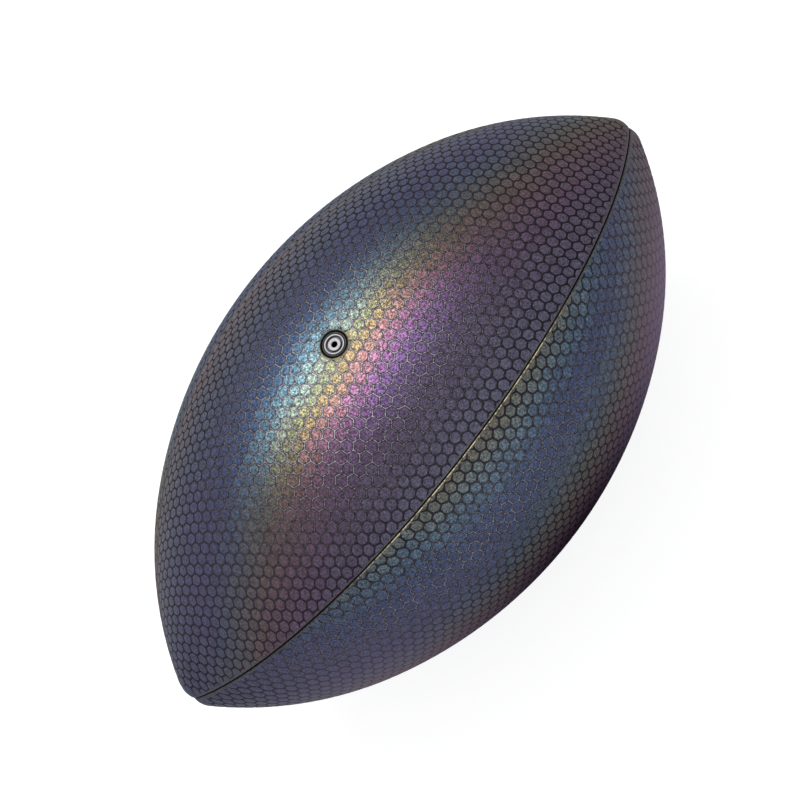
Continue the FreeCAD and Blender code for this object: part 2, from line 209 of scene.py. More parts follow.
@dataclass
class Shell:
    """A mesh while it is being made: places, triangles and the values its finish reads."""

    points: Floats = field(default_factory=lambda: np.empty((0, 3)))
    triangles: Ints = field(default_factory=lambda: np.empty((0, 3), np.int64))
    point_values: dict[str, Floats] = field(default_factory=dict)
    face_values: dict[str, Floats] = field(default_factory=dict)

    def add_points(self, points: Floats, **values: Floats | float) -> Ints:
        """Adds places, with their values.

        Args:
            points: One row of x, y, z each.
            values: A value for each place, or one for all, by name. A name left out is 0 here.

        Returns:
            The new vertex numbers.
        """
        start = len(self.points)
        self.extend(self.point_values, start, len(points), values)
        self.points = np.concatenate([self.points, points])
        return np.arange(start, start + len(points))

    def add_triangles(self, triangles: Ints, **values: Floats | float) -> None:
        """Adds triangles, with their values.

        Args:
            triangles: One row of three vertex numbers each.
            values: A value for each triangle, or one for all, by name. A name left out is 0 here.
        """
        self.extend(self.face_values, len(self.triangles), len(triangles), values)
        self.triangles = np.concatenate([self.triangles, triangles])

    @staticmethod
    def extend(
        table: dict[str, Floats], old_count: int, new_count: int, values: dict[str, Floats | float]
    ) -> None:
        """Lengthens every column of a table of values.

        Args:
            table: The columns, by name.
            old_count: Rows that the table stands for so far.
            new_count: Rows to add.
            values: The new rows' values, by name.
        """
        for name in {**table, **values}:
            old = table.get(name, np.zeros(old_count))
            new = np.broadcast_to(values.get(name, 0.0), new_count)
            table[name] = np.concatenate([old, new])

    def extrude(self, loop: Ints, points: Floats, **values: Floats | float) -> Ints:
        """Adds a loop of places and the triangles that join it to the loop before.

        Args:
            loop: Vertex numbers of the loop before.
            points: The new loop's places, one for each vertex of the other.
            values: As for add_points.

        Returns:
            The new loop's vertex numbers.
        """
        new = self.add_points(points, **values)
        self.add_triangles(ladder(loop, new, closed=True))
        return new

    def drop_flat_triangles(self) -> None:
        """Removes triangles that use one vertex twice."""
        kept = with_area(self.triangles)
        self.triangles = self.triangles[kept]
        self.face_values = {name: row[kept] for name, row in self.face_values.items()}

    def to_object(self, name: str) -> bpy.types.Object:
        """Makes the Blender object, smooth-shaded.

        Args:
            name: The piece's name.

        Returns:
            The new object, linked to the scene.
        """
        mesh = bpy.data.meshes.new(name)
        count = len(self.triangles)
        mesh.vertices.add(len(self.points))
        mesh.vertices.foreach_set("co", self.points.astype(np.float32).ravel())
        mesh.loops.add(3 * count)
        mesh.loops.foreach_set("vertex_index", self.triangles.astype(np.int32).ravel())
        mesh.polygons.add(count)
        mesh.polygons.foreach_set("loop_start", np.arange(0, 3 * count, 3, dtype=np.int32))
        mesh.polygons.foreach_set("use_smooth", np.ones(count, bool))
        mesh.update(calc_edges=True)
        mesh.validate()
        for domain, table in (("POINT", self.point_values), ("FACE", self.face_values)):
            for key, row in table.items():
                layer = mesh.attributes.new(key, "FLOAT", domain)
                layer.data.foreach_set("value", row.astype(np.float32))
        made = bpy.data.objects.new(name, mesh)
        bpy.context.scene.collection.objects.link(made)
        LOG.info("%s: %d triangles", name, count)
        return made


@dataclass
class FlatMesh:
    """Triangles on a plane of two coordinates, before they are laid on a surface.

    groove and rise are values of the vertices; owner is the embossed pad of each triangle.
    """

    places: Floats
    triangles: Ints
    groove: Floats
    rise: Floats
    owner: Ints

    def clip(self, inside: Height, margin: float) -> Ints:
        """Cuts away what lies where inside() is negative.

        A vertex nearer to the cut than the margin is first moved off it, along the second
        coordinate, so that no sliver is left. Then each triangle that crosses the cut keeps
        its positive part.

        Args:
            inside: A function of the two coordinates that is positive on the kept side.
            margin: The least value at a vertex beside the cut.

        Returns:
            Vertex numbers on the new edge, in no order.
        """
        step, least_slope = 1e-7, 0.3
        first, second = self.places.T
        value = inside(first, second)
        slope = (inside(first, second + step) - value) / step
        near = (np.abs(value) < margin) & (np.abs(slope) > least_slope)
        target = np.where(value < 0, -margin, margin)
        self.places[near, 1] += (target[near] - value[near]) / slope[near]
        value = inside(*self.places.T)
        kept = value > 0
        corner_kept = kept[self.triangles]
        number_kept = corner_kept.sum(1)

        def turned(chosen: NDArray[np.bool_], first_is_kept: bool) -> Ints:
            """The chosen triangles, each started at its one odd corner."""
            rows = self.triangles[chosen]
            odd = np.argmax(corner_kept[chosen] == first_is_kept, axis=1)
            return rows[np.arange(len(rows))[:, None], (odd[:, None] + np.arange(3)) % 3]

        lone = turned(number_kept == 1, True)
        paired = turned(number_kept == 2, False)
        edges = np.concatenate([rows[:, [0, side]] for rows in (lone, paired) for side in (1, 2)])
        unique, where = np.unique(np.sort(edges, axis=1), axis=0, return_inverse=True)
        where = where.ravel() + len(self.places)
        one, two = unique.T
        first, way = self.places[one], self.places[two] - self.places[one]

        def ahead(part: Floats) -> Floats:
            """The value at a share of the way along each cut edge, positive at its start."""
            return np.sign(value[one]) * inside(*(first + part[:, None] * way).T)

        share = bisect(np.zeros(len(unique)), np.ones(len(unique)), ahead)

        def mixed(row: Floats) -> Floats:
            """A vertex value at each cut."""
            part = share if row.ndim == 1 else share[:, None]
            return row[one] * (1 - part) + row[two] * part

        for name in ("places", "groove", "rise"):
            row = getattr(self, name)
            setattr(self, name, np.concatenate([row, mixed(row)]))
        a, b, c, d = np.split(where, np.cumsum([len(lone), len(lone), len(paired)]))
        whole = self.triangles[number_kept == 3]
        corner = np.stack([lone[:, 0], a, b], axis=1)
        left = np.stack([c, paired[:, 1], paired[:, 2]], axis=1)
        right = np.stack([c, paired[:, 2], d], axis=1)
        self.triangles = np.concatenate([whole, corner, left, right])
        self.owner = np.concatenate([self.owner[number_kept == count] for count in (3, 1, 2, 2)])
        return np.unique(where)

    def compact(self, *marked: Ints) -> list[Ints]:
        """Drops vertices that no triangle uses.

        Args:
            marked: Sets of vertex numbers to follow.

        Returns:
            The same sets in the new numbering, without the dropped ones.
        """
        used = np.unique(self.triangles)
        renumber = np.full(len(self.places), -1)
        renumber[used] = np.arange(len(used))
        self.triangles = renumber[self.triangles]
        self.places = self.places[used]
        self.groove, self.rise = self.groove[used], self.rise[used]
        followed = [renumber[row] for row in marked]
        return [row[row >= 0] for row in followed]


# ---------------------------------------------------------------- the ball's surface


class Quarter(Enum):
    """A panel's place round the ball: its turn about X, in degrees."""

    TOP = 0
    FRONT = 90
    BOTTOM = 180
    REAR = 270

    @property
    def label(self) -> str:
        """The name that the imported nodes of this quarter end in."""
        return self.name.lower()

    def turn(self, points: Floats) -> Floats:
        """Turns rows of x, y, z about X into this quarter."""
        angle = math.radians(self.value)
        return points @ np.array(Matrix.Rotation(angle, 3, "X")).T


@dataclass(frozen=True)
class Lobe:
    """The outer surface that one panel follows, in the panel's own frame.

    It is an outline turned about an axis that stands `offset` above the ball's axis. The
    outline is three arcs that run smoothly into each other: belly, shoulder and nose.
    """

    half_length: float
    crown: float
    offset: float = 3.5 * MM
    belly_radius: float = 180 * MM
    belly_half_span: float = 87 * MM
    nose_radius: float = 9 * MM

    def arcs(self) -> tuple[Floats, Floats, Floats, Floats]:
        """The outline's arcs, from mid-length to a tip.

        Returns:
            The arcs' centres along and above the axis, their radii, and the tilt of the
            outward normal at the start of each, from upright.
        """
        belly_angle = math.asin(self.belly_half_span / self.belly_radius)
        leaving = np.array([math.sin(belly_angle), math.cos(belly_angle)])
        belly_centre = np.array([0.0, self.crown - self.offset - self.belly_radius])
        nose_centre = np.array([self.half_length - self.nose_radius, 0.0])
        belly_end = belly_centre + leaving * self.belly_radius
        reach = belly_end - nose_centre
        twice = 2 * (reach @ leaving - self.nose_radius)
        shoulder = (reach @ reach - self.nose_radius**2) / twice
        shoulder_centre = belly_end - leaving * shoulder
        to_nose = nose_centre - shoulder_centre
        centres = np.array([belly_centre, shoulder_centre, nose_centre])
        radii = np.array([self.belly_radius, shoulder, self.nose_radius])
        tilts = np.array([0.0, belly_angle, math.atan2(to_nose[0], to_nose[1])])
        return centres[:, 0], centres[:, 1], radii, tilts

    def outline(self, along: Floats) -> tuple[Floats, Floats, Floats]:
        """The outline at a distance along it from mid-length.

        On each arc the normal's tilt grows by distance over radius; the point is the arc's
        centre plus its radius times the sine and cosine of the tilt.

        Args:
            along: Signed distances along the outline.

        Returns:
            x, height above the lobe's axis, and the signed tilt of the normal.
        """
        centre_x, centre_up, radii, tilts = self.arcs()
        starts = np.concatenate([[0.0], np.cumsum(radii[:-1] * np.diff(tilts))])
        distance = np.abs(along)
        part = np.clip(np.searchsorted(starts, distance, side="right") - 1, 0, 2)
        tilt = tilts[part] + (distance - starts[part]) / radii[part]
        x = centre_x[part] + radii[part] * np.sin(tilt)
        height = centre_up[part] + radii[part] * np.cos(tilt)
        return np.copysign(x, along), height, np.copysign(tilt, along)

    @property
    def reach(self) -> float:
        """Distance along the outline from mid-length to a tip."""
        _, _, radii, tilts = self.arcs()
        return float(np.sum(radii * np.diff(np.append(tilts, math.pi / 2))))

    def normals(self, tilt: Floats, angle: Floats) -> Floats:
        """Outward unit normals: the sine of the tilt along X, the rest turned by the angle."""
        across = np.cos(tilt)
        return np.stack([np.sin(tilt), -across * np.sin(angle), across * np.cos(angle)], axis=-1)

    def points(self, along: Floats, angle: Floats, rise: Floats | float = 0.0) -> Floats:
        """Places on the lobe, or a little way above or below it.

        Args:
            along: Distance along the outline.
            angle: Turn about the lobe's axis, positive towards -Y.
            rise: Distance out from the surface, along its normal.

        Returns:
            Rows of x, y, z.
        """
        x, height, tilt = self.outline(along)
        base = np.stack([x, -height * np.sin(angle), self.offset + height * np.cos(angle)], axis=-1)
        return base + np.asarray(rise)[..., None] * self.normals(tilt, angle)

    def seam_distance(self, along: Floats, angle: Floats) -> Floats:
        """How far a place on the lobe is from the nearer seam plane, inside the quarter.

        The seam planes meet on the ball's axis at 45 degrees to each side of +Z, so this is
        (z - |y|) / sqrt 2.

        Args:
            along: Distance along the outline.
            angle: Turn about the lobe's axis.

        Returns:
            The distance, below 0 outside the quarter.
        """
        _, height, _ = self.outline(along)
        return (self.offset + height * (np.cos(angle) - np.abs(np.sin(angle)))) / math.sqrt(2)


# ---------------------------------------------------------------- the cover panels


@dataclass(frozen=True)
class Emboss:
    """The pressed pattern: rounded hexagonal pads between narrow grooves.

    Rows run nearly along the ball, and each pad has a corner towards the next row. Beside a
    seam the depth comes in over the fade's width, which grows between the two distances from
    mid-length in growth_span. end_fade and hole_fade are distances before an end of the
    pattern and from the valve's hole.
    """

    pitch: float = 4.73 * MM
    tilt: float = math.radians(-5.0)
    depth: float = 0.26 * MM
    groove_half_width: float = 0.46 * MM
    shoulder_width: float = 0.38 * MM
    shoulder_drop: float = 0.045 * MM
    corner_rounding: float = 0.075
    top_rounding: float = 1.3 * 0.075
    fade_start: float = -0.15
    fade_width: float = 0.9 * MM
    fade_growth: float = 1.4 * MM
    growth_span: tuple[float, float] = (85 * MM, 150 * MM)
    end_fade: tuple[float, float] = (0.2 * MM, 3.0 * MM)
    hole_fade: tuple[float, float] = (0.7 * MM, 1.6 * MM)

    def tile(self, half_along: float, half_across: float, shift: tuple[float, float]) -> FlatMesh:
        """Covers a rectangle with pads.

        Each pad has three rings of twelve vertices, at its six corners and the six middles of
        its sides, and one in its centre. The outermost ring lies in the groove and is shared
        with the neighbours; the second is the pad's edge; the third is where its top is flat.

        Args:
            half_along: Half the rectangle's length along the ball.
            half_across: Half its width across the panel.
            shift: Place of one pad's centre, along and across.

        Returns:
            The tiled plane, with triangles wound anticlockwise.
        """
        apothem = self.pitch / 2
        row_gap = self.pitch * math.sqrt(3) / 2
        row_way = np.array([math.cos(self.tilt), math.sin(self.tilt)])
        across_way = np.array([-row_way[1], row_way[0]])
        furthest = half_along + half_across
        columns, rows = (int(furthest / gap) + 2 for gap in (self.pitch, row_gap))
        column, row = np.meshgrid(np.arange(-columns, columns + 1), np.arange(-rows, rows + 1))
        step = (column + 0.5 * (row % 2))[..., None] * self.pitch * row_way
        centres = (step + row[..., None] * row_gap * across_way).reshape(-1, 2) + shift
        reach = np.array([half_along, half_across]) + self.pitch
        centres = centres[(np.abs(centres) < reach).all(1)]

        sides = 12
        turn = np.radians(90 + 360 / sides * np.arange(sides))
        spoke = np.cos(turn)[:, None] * row_way + np.sin(turn)[:, None] * across_way
        is_corner = np.arange(sides) % 2 == 0
        stretch = np.where(is_corner, 1 / math.cos(math.pi / 6), 1.0)
        pad = apothem - self.groove_half_width
        flat = pad - self.shoulder_width
        rings = []
        roundings = (0.0, self.corner_rounding, self.top_rounding)
        for width, rounding in zip((apothem, pad, flat), roundings):
            radius = width * stretch * (1 - rounding * is_corner)
            rings.append((centres[:, None] + radius[:, None] * spoke).reshape(-1, 2))
        outer, edge, top = rings

        same_place = 2e-3 * MM
        keys = np.round(outer / same_place).astype(np.int64)
        _, first, shared = np.unique(keys, axis=0, return_index=True, return_inverse=True)
        count, shared_count, ring_count = len(centres), len(first), len(edge)
        outer_ring = shared.reshape(count, sides)
        edge_ring = shared_count + np.arange(ring_count).reshape(count, sides)
        top_ring = edge_ring + ring_count
        middle = shared_count + 2 * ring_count + np.arange(count)
        places = np.concatenate([outer[first], edge, top, centres])
        sizes = [shared_count, ring_count, ring_count, count]
        groove = np.repeat([1.0, 0.0, 0.0, 0.0], sizes)
        rise = np.repeat([-self.depth, -self.shoulder_drop, 0.0, 0.0], sizes)
        parts = []
        for out, into in ((outer_ring, edge_ring), (edge_ring, top_ring)):
            next_out, next_into = np.roll(out, -1, 1), np.roll(into, -1, 1)
            parts.append(np.stack([out, next_out, next_into], -1))
            parts.append(np.stack([out, next_into, into], -1))
        hub = np.broadcast_to(middle[:, None], top_ring.shape)
        parts.append(np.stack([top_ring, np.roll(top_ring, -1, 1), hub], -1))
        triangles = np.stack(parts, axis=1).reshape(-1, 3)
        owner = np.repeat(np.arange(count), sides * len(parts))
        return FlatMesh(places, triangles, groove, rise, owner)


@dataclass(frozen=True)
class Bell:
    """A patch of a panel where an effect is strongest, in millimetres along and across.

    Its ridge leans across the panel by the lean for each step along.
    """

    place: tuple[float, float]
    size: tuple[float, float]
    height: float
    lean: float = 0.0

    def at(self, along: Floats, across: Floats) -> Floats:
        """height * exp(-(a^2 + b^2)), where a and b are distances from the place over the size."""
        a = along / MM - self.place[0]
        b = across / MM - self.place[1] - self.lean * a
        return self.height * np.exp(-((a / self.size[0]) ** 2) - (b / self.size[1]) ** 2)


@dataclass(frozen=True)
class Shimmer:
    """Where the colours of a panel's film lie.

    The hue depends on the distance across the panel from a yellow band, whose place is read
    between given knots along the ball. A panel may have a second band, past which the
    hues run on the other way. The painted highlight, the painted highlight on the grooves,
    the painted shade zone and the painted sheens are each strongest at one place.
    """

    knots: tuple[float, ...]
    band: tuple[float, ...]
    direction: float
    painted_highlight: Bell
    groove_highlight: Bell
    dark: Bell = Bell((0.0, 0.0), (60.0, 20.0), 0.0)
    second_band: tuple[float, ...] = ()
    painted_sheens: tuple[Bell, ...] = ()
    lip_highlight: float = 0.15
    pad_shift: tuple[float, float] = (0.0, 0.0)

    def phase(self, along: Floats, across: Floats) -> Floats:
        """Signed distance across the panel from the nearer yellow band, in millimetres."""
        along, across = along / MM, across / MM
        phase = self.direction * (across - np.interp(along, self.knots, self.band))
        if self.second_band:
            phase = np.maximum(phase, across - np.interp(along, self.knots, self.second_band))
        return phase

    def values(self, along: Floats, across: Floats) -> dict[str, Floats]:
        """The film's values at places on the panel, by the names that its finish reads."""
        return {
            "phase": self.phase(along, across),
            # A painted highlight, a painted highlight on the grooves, a painted shade and painted
            # sheens.
            "painted_highlight": self.painted_highlight.at(along, across),
            "groove_highlight": self.groove_highlight.at(along, across),
            "dark": self.dark.at(along, across),
            "painted_sheen": sum((painted_sheen.at(along, across) for painted_sheen in self.painted_sheens), 0 * along),
        }


@dataclass
class CoverPanel:
    """One printed cover panel: embossed face, edges rolled into the seams, and its underside.

    The embossing ends cut_back before each tip. The hem runs down to lip, with a row of
    vertices at hem_row on the way, and comes back up to hem_end thicknesses. seam_angles are
    turns between which a seam always lies.
    """

    quarter: Quarter
    lobe: Lobe
    shimmer: Shimmer
    emboss: Emboss = field(default_factory=Emboss)
    hole_radius: float = 0.0
    thickness: float = 1.4 * MM
    seam_half_gap: float = 0.15 * MM
    roll: float = 0.7 * MM
    hem_row: float = 2.2 * MM
    lip: float = 4.5 * MM
    hem_end: float = 1.25
    cut_back: float = 5.5 * MM
    hole_roll: float = 0.45 * MM
    wall_depth: float = 0.8
    seam_angles: tuple[float, float] = (0.3, 1.9)
    nose_steps: int = 14
    seed: int = 41

    @property
    def end(self) -> float:
        """Distance along the outline to the ends of the embossed face."""
        return self.lobe.reach - self.cut_back

    def height_at(self, along: Floats) -> Floats:
        """Height of the outline above the lobe's axis, kept above zero."""
        return np.maximum(self.lobe.outline(along)[1], 1e-6)

    def edge_room(self, along: Floats, angle: Floats) -> Floats:
        """Distance from where the rolled edge starts; it is positive on the face.

        The roll turns the face through the angle whose cosine is that between the normals of
        face and seam plane, so it takes up roll * (1 - cosine) in front of the seam's gap.

        Args:
            along: Distance along the outline.
            angle: Turn about the lobe's axis.

        Returns:
            The distance at each place.
        """
        tilt = self.lobe.outline(along)[2]
        cosine = np.cos(tilt) * (np.abs(np.sin(angle)) - np.cos(angle)) / math.sqrt(2)
        room = self.lobe.seam_distance(along, angle)
        return room - self.seam_half_gap - self.roll * (1 - cosine)

    def depth_share(self, along: Floats, across: Floats) -> Floats:
        """How deep the embossing is, from 0 to 1.

        It fades out beside the seams, over a wider strip towards the tips, round the valve
        and before the noses.

        Args:
            along: Distance along the outline.
            across: Distance across the panel.

        Returns:
            The share of the full depth at each place.
        """
        emboss = self.emboss
        room = self.edge_room(along, across / self.height_at(along))
        growth = emboss.fade_growth * smooth_step(np.abs(along), *emboss.growth_span)
        share = smooth_step(room / (emboss.fade_width + growth), emboss.fade_start, 1.0)
        share = share * smooth_step(self.end - np.abs(along), *emboss.end_fade)
        if self.hole_radius:
            from_hole = np.hypot(along, across) - self.hole_radius
            share = share * smooth_step(from_hole, *emboss.hole_fade)
        return share

    def face_plane(self) -> tuple[FlatMesh, list[Ints]]:
        """The embossed face as a plane mesh, cut to the panel's outline.

        Returns:
            The mesh, and the vertex numbers of its cuts: both ends, the two seams and the
            valve's hole.
        """
        half_width, widest = 0.82 * self.lobe.crown, 1.6
        plane = self.emboss.tile(self.end, half_width, self.shimmer.pad_shift)
        plane.clip(lambda along, across: self.end - np.abs(along) + 0 * across, 0.0)

        def inside(along: Floats, across: Floats) -> Floats:
            """Room before the rolled edge, on the plane."""
            return self.edge_room(along, np.clip(across / self.height_at(along), -widest, widest))

        seams = plane.clip(inside, 0.1 * MM)
        hole = np.empty(0, np.int64)
        if self.hole_radius:
            rim = self.hole_radius + self.hole_roll
            hole = plane.clip(lambda along, across: np.hypot(along, across) - rim, 0.08 * MM)
        seams, hole = plane.compact(seams, hole)
        ends = np.flatnonzero(np.abs(np.abs(plane.places[:, 0]) - self.end) < 1e-7)
        return plane, [ends, seams, hole]

    def nose_edge(self, margin: float, rows: int) -> tuple[Floats, Floats]:
        """The panel's edge round the +X nose, from the cut to the ball's axis.

        Seen along the nose's own axis the edge is nearly straight. Its points are spaced by
        equal steps on a line whose foot lies near the pole, and their distance from the pole
        is found by bisection.

        Args:
            margin: Room kept before the rolled edge; below 0 it is taken from the seam plane.
            rows: Number of steps.

        Returns:
            Distance along the outline and angle of each of the rows + 1 points.
        """

        def room(along: Floats, angle: Floats) -> Floats:
            """Room before the edge that the margin asks for."""
            if margin < 0:
                return self.lobe.seam_distance(along, angle) + margin
            return self.edge_room(along, angle) - margin

        low, high = np.array(self.seam_angles)[:, None]
        start = bisect(low, high, lambda turn: room(np.array([self.end]), turn))[0]
        foot = self.lobe.offset / math.sqrt(2) / 2.2
        foot_turn = math.radians(135)
        stations = np.linspace(foot * math.tan(foot_turn - start), -foot, rows + 1)
        angle = foot_turn - np.arctan(stations / foot)
        angle[-1] = math.pi
        furthest = np.full(rows + 1, self.cut_back * 1.01)
        polar = bisect(0 * furthest, furthest, lambda back: room(self.lobe.reach - back, angle))
        polar[0] = self.cut_back
        return self.lobe.reach - polar, angle

    def nose_rows(self, margin: float, shares: Floats, rows: int) -> tuple[Floats, Floats]:
        """Rows of points across the +X nose, each from the -Y edge to the +Y edge.

        A row is a mix of an arc round the nose and a straight chord; the first is all arc, so
        that it lies on the end of the embossed face.

        Args:
            margin: As for nose_edge.
            shares: Places of a row's points, from -1 to 1.
            rows: Number of rows after the first.

        Returns:
            Distance along and angle, each as rows by points.
        """
        along, angle = self.nose_edge(margin, rows)
        polar = (self.lobe.reach - along)[:, None]
        angle = angle[:, None]
        arc = (1 - np.linspace(0, 1, rows + 1))[:, None] ** 2
        up = polar * (arc * np.cos(shares * angle) + (1 - arc) * np.cos(angle))
        side = polar * (arc * np.sin(shares * angle) + (1 - arc) * shares * np.sin(angle))
        return self.lobe.reach - np.hypot(up, side), np.arctan2(side, up)

    def rolled_edge(
        self, shell: Shell, loop: Ints, along: Floats, angle: Floats, corners: Ints
    ) -> Ints:
        """Rolls the face's edge down into the seam and back up inside, as a folded hem.

        From each edge point the section turns on a circle from the face's tangent to the
        seam plane, runs down the plane to the lip's depth, crosses the hem's thickness and
        climbs back to the underside. At a tip the two hems meet in a mitre.

        Args:
            shell: Where the hem is added.
            loop: Vertex numbers of the face's edge, in order.
            along: The edge's distances along the outline.
            angle: The edge's angles.
            corners: Positions in the loop of the two tips.

        Returns:
            Vertex numbers of the hem's last loop, at the underside.
        """
        normal = self.lobe.normals(self.lobe.outline(along)[2], angle)
        side = np.sign(angle)
        across = np.stack([0 * side, -side, -np.ones_like(side)], axis=1) / math.sqrt(2)
        cosine = np.sum(normal * across, axis=1)
        inward = -(normal - cosine[:, None] * across)
        inward /= np.linalg.norm(inward, axis=1)[:, None]
        across[corners] = [0.0, 0.0, -math.sqrt(2)]
        inward[corners] = np.stack([-np.sign(along[corners]), 0 * corners, 0 * corners], axis=1)
        full_turn, sine = np.arccos(cosine), np.sin(np.arccos(cosine))
        sections: list[tuple[Floats, Floats | float, float]] = []
        for share in (0.2, 0.4, 0.6, 0.8, 1.0):
            turn = full_turn * share
            out = self.roll * (np.sin(turn) * sine - (1 - np.cos(turn)) * cosine)
            down = self.roll * (np.sin(turn) * cosine + (1 - np.cos(turn)) * sine)
            sections.append((out, down, share))
        sections += [(out, depth, 1.0) for depth in (self.hem_row, self.lip)]
        back = out - self.thickness
        sections += [(back, depth, 1.0) for depth in (self.lip, self.hem_end * self.thickness)]
        start = shell.points[loop]
        for out, down, share in sections:
            places = start + out[:, None] * across + np.reshape(down, (-1, 1)) * inward
            loop = shell.extrude(loop, places, hem=share)
        return loop

    def underside(self, shell: Shell) -> tuple[Ints, Ints, Floats]:
        """The panel's smooth inner face, a thickness below the outer one.

        It is a grid of rows from edge to edge, each spaced evenly across, that ends in a
        point at each tip. In the top panel the valve's hole is cut from it.

        Args:
            shell: Where the face is added.

        Returns:
            The outer loop, and the hole's loop with its positions in [0, 1).
        """
        rows, nose_steps, columns = 56, 10, 17
        clearance = 0.05 * MM
        margin = -(self.seam_half_gap + self.thickness + clearance)
        shares = np.linspace(-1, 1, columns)
        stations = np.linspace(-self.end, self.end, rows + 1)
        widest = np.full(rows + 1, self.seam_angles[1])

        def room(turn: Floats) -> Floats:
            """Room before the underside's edge, at each row."""
            return self.lobe.seam_distance(stations, turn) + margin

        seam = bisect(0 * widest, widest, room)
        nose_along, nose_angle = self.nose_rows(margin, shares, nose_steps)
        middle = np.repeat(stations[:, None], columns, 1)
        along = np.concatenate([-nose_along[:0:-1], middle, nose_along[1:]])
        angle = np.concatenate([nose_angle[:0:-1], seam[:, None] * shares, nose_angle[1:]])
        number = np.arange(along.size).reshape(along.shape)
        number[0], number[-1] = number[0, 0], number[-1, 0]
        near = np.stack([number[:-1, :-1], number[1:, :-1], number[1:, 1:]], -1)
        far = np.stack([number[:-1, :-1], number[1:, 1:], number[:-1, 1:]], -1)
        triangles = np.concatenate([near.reshape(-1, 3), far.reshape(-1, 3)])
        triangles = triangles[with_area(triangles)]
        places = np.stack([along.ravel(), angle.ravel()], 1)
        blank, owner = np.zeros(len(places)), np.zeros(len(triangles), int)
        plane = FlatMesh(places, triangles, blank, blank, owner)
        hole = np.empty(0, np.int64)
        edge = np.concatenate([number[::-1, -1], number[1:-1, 0]])
        if self.hole_radius:

            def outside(place: Floats, turn: Floats) -> Floats:
                """Distance from the hole's edge, seen along the valve."""
                spot = self.lobe.points(place, turn, -self.thickness)
                gap = np.hypot(spot[:, 0], spot[:, 1]) - self.hole_radius
                return np.where(spot[:, 2] > 0, gap, 1.0)

            hole = plane.clip(outside, 0.0)
        hole, edge = plane.compact(hole, edge)
        points = self.lobe.points(*plane.places.T, -self.thickness)
        new = shell.add_points(points, hem=1.0)
        shell.add_triangles(new[plane.triangles])
        order, turn = order_round_axis(points[hole])
        return new[edge], new[hole[order]], turn

    def valve_opening(self, shell: Shell, rim: Ints) -> tuple[Ints, Floats]:
        """Rolls the face over the edge of the valve's hole and down its wall.

        Args:
            shell: Where the wall is added.
            rim: Vertex numbers of the face round the hole.

        Returns:
            The wall's lowest loop and its positions in [0, 1).
        """
        order, turn = order_round_axis(shell.points[rim])
        loop = rim[order]
        start = shell.points[loop]
        way = np.stack([np.cos(2 * math.pi * turn), np.sin(2 * math.pi * turn), 0 * turn], 1)
        bends = np.radians([22.5, 45.0, 67.5, 90.0])
        sections = [*(self.hole_roll * np.stack([np.sin(bends), 1 - np.cos(bends)], 1))]
        sections.append((self.hole_roll, self.wall_depth * self.thickness))
        for into, depth in sections:
            places = start - into * way - [0.0, 0.0, depth]
            loop = shell.extrude(loop, places, hem=min(1.0, into / self.hole_roll))
        return loop, turn

    def add_face(self, shell: Shell, plane: FlatMesh) -> tuple[Ints, Floats]:
        """Lays the embossed plane on the lobe, with a film value for each pad.

        Args:
            shell: Where the face is added.
            plane: The face as a plane mesh.

        Returns:
            The vertex numbers, and the angle of each.
        """
        along, across = plane.places.T
        angle = across / self.height_at(along)
        share = self.depth_share(along, across)
        points = self.lobe.points(along, angle, plane.rise * share)
        face = shell.add_points(points, groove=plane.groove * share, hem=0.0)
        middles = plane.places[plane.triangles].mean(1)
        centre = np.stack([np.bincount(plane.owner, row) for row in middles.T], 1)
        centre /= np.maximum(np.bincount(plane.owner), 1)[:, None]
        chance = np.random.default_rng(self.seed + self.quarter.value).random(len(centre))
        values = self.shimmer.values(*centre[plane.owner].T)
        shell.add_triangles(plane.triangles[:, ::-1], pad=chance[plane.owner], **values)
        return face, angle

    def add_nose(
        self, shell: Shell, row: Ints, across: Floats, angle: Floats, way: int
    ) -> tuple[Ints, Floats, Floats]:
        """Adds the plain cap between an end of the embossed face and the tip.

        Args:
            shell: Where the cap is added.
            row: Vertex numbers of the face's end, by rising distance across.
            across: Their distances across the panel.
            angle: Their angles.
            way: 1 for the +X end, -1 for the other.

        Returns:
            The cap's rows of vertex numbers from the second to the tip, and the distances
            along the outline and the angles of the rows' last vertices.
        """
        shares = angle / angle.max()
        along, turn = self.nose_rows(0.0, shares, self.nose_steps)
        inner = shell.add_points(self.lobe.points(way * along[1:-1], turn[1:-1]).reshape(-1, 3))
        tip = shell.add_points(self.lobe.points(way * along[-1:, 0], turn[-1:, -1]))
        rows = np.concatenate([row, inner, np.repeat(tip, len(row))]).reshape(-1, len(row))
        place = np.full(2 * len(row) - 2, way * self.end)
        spot = np.interp(np.tile(shares[:-1], 2), [-1, 1], across[[0, -1]])
        for one, two in zip(rows, rows[1:]):
            strip = ladder(one, two)[:, ::way]
            shell.add_triangles(strip, pad=0.5, **self.shimmer.values(place, spot))
        return rows[1:], way * along[1:, -1], turn[1:, -1]

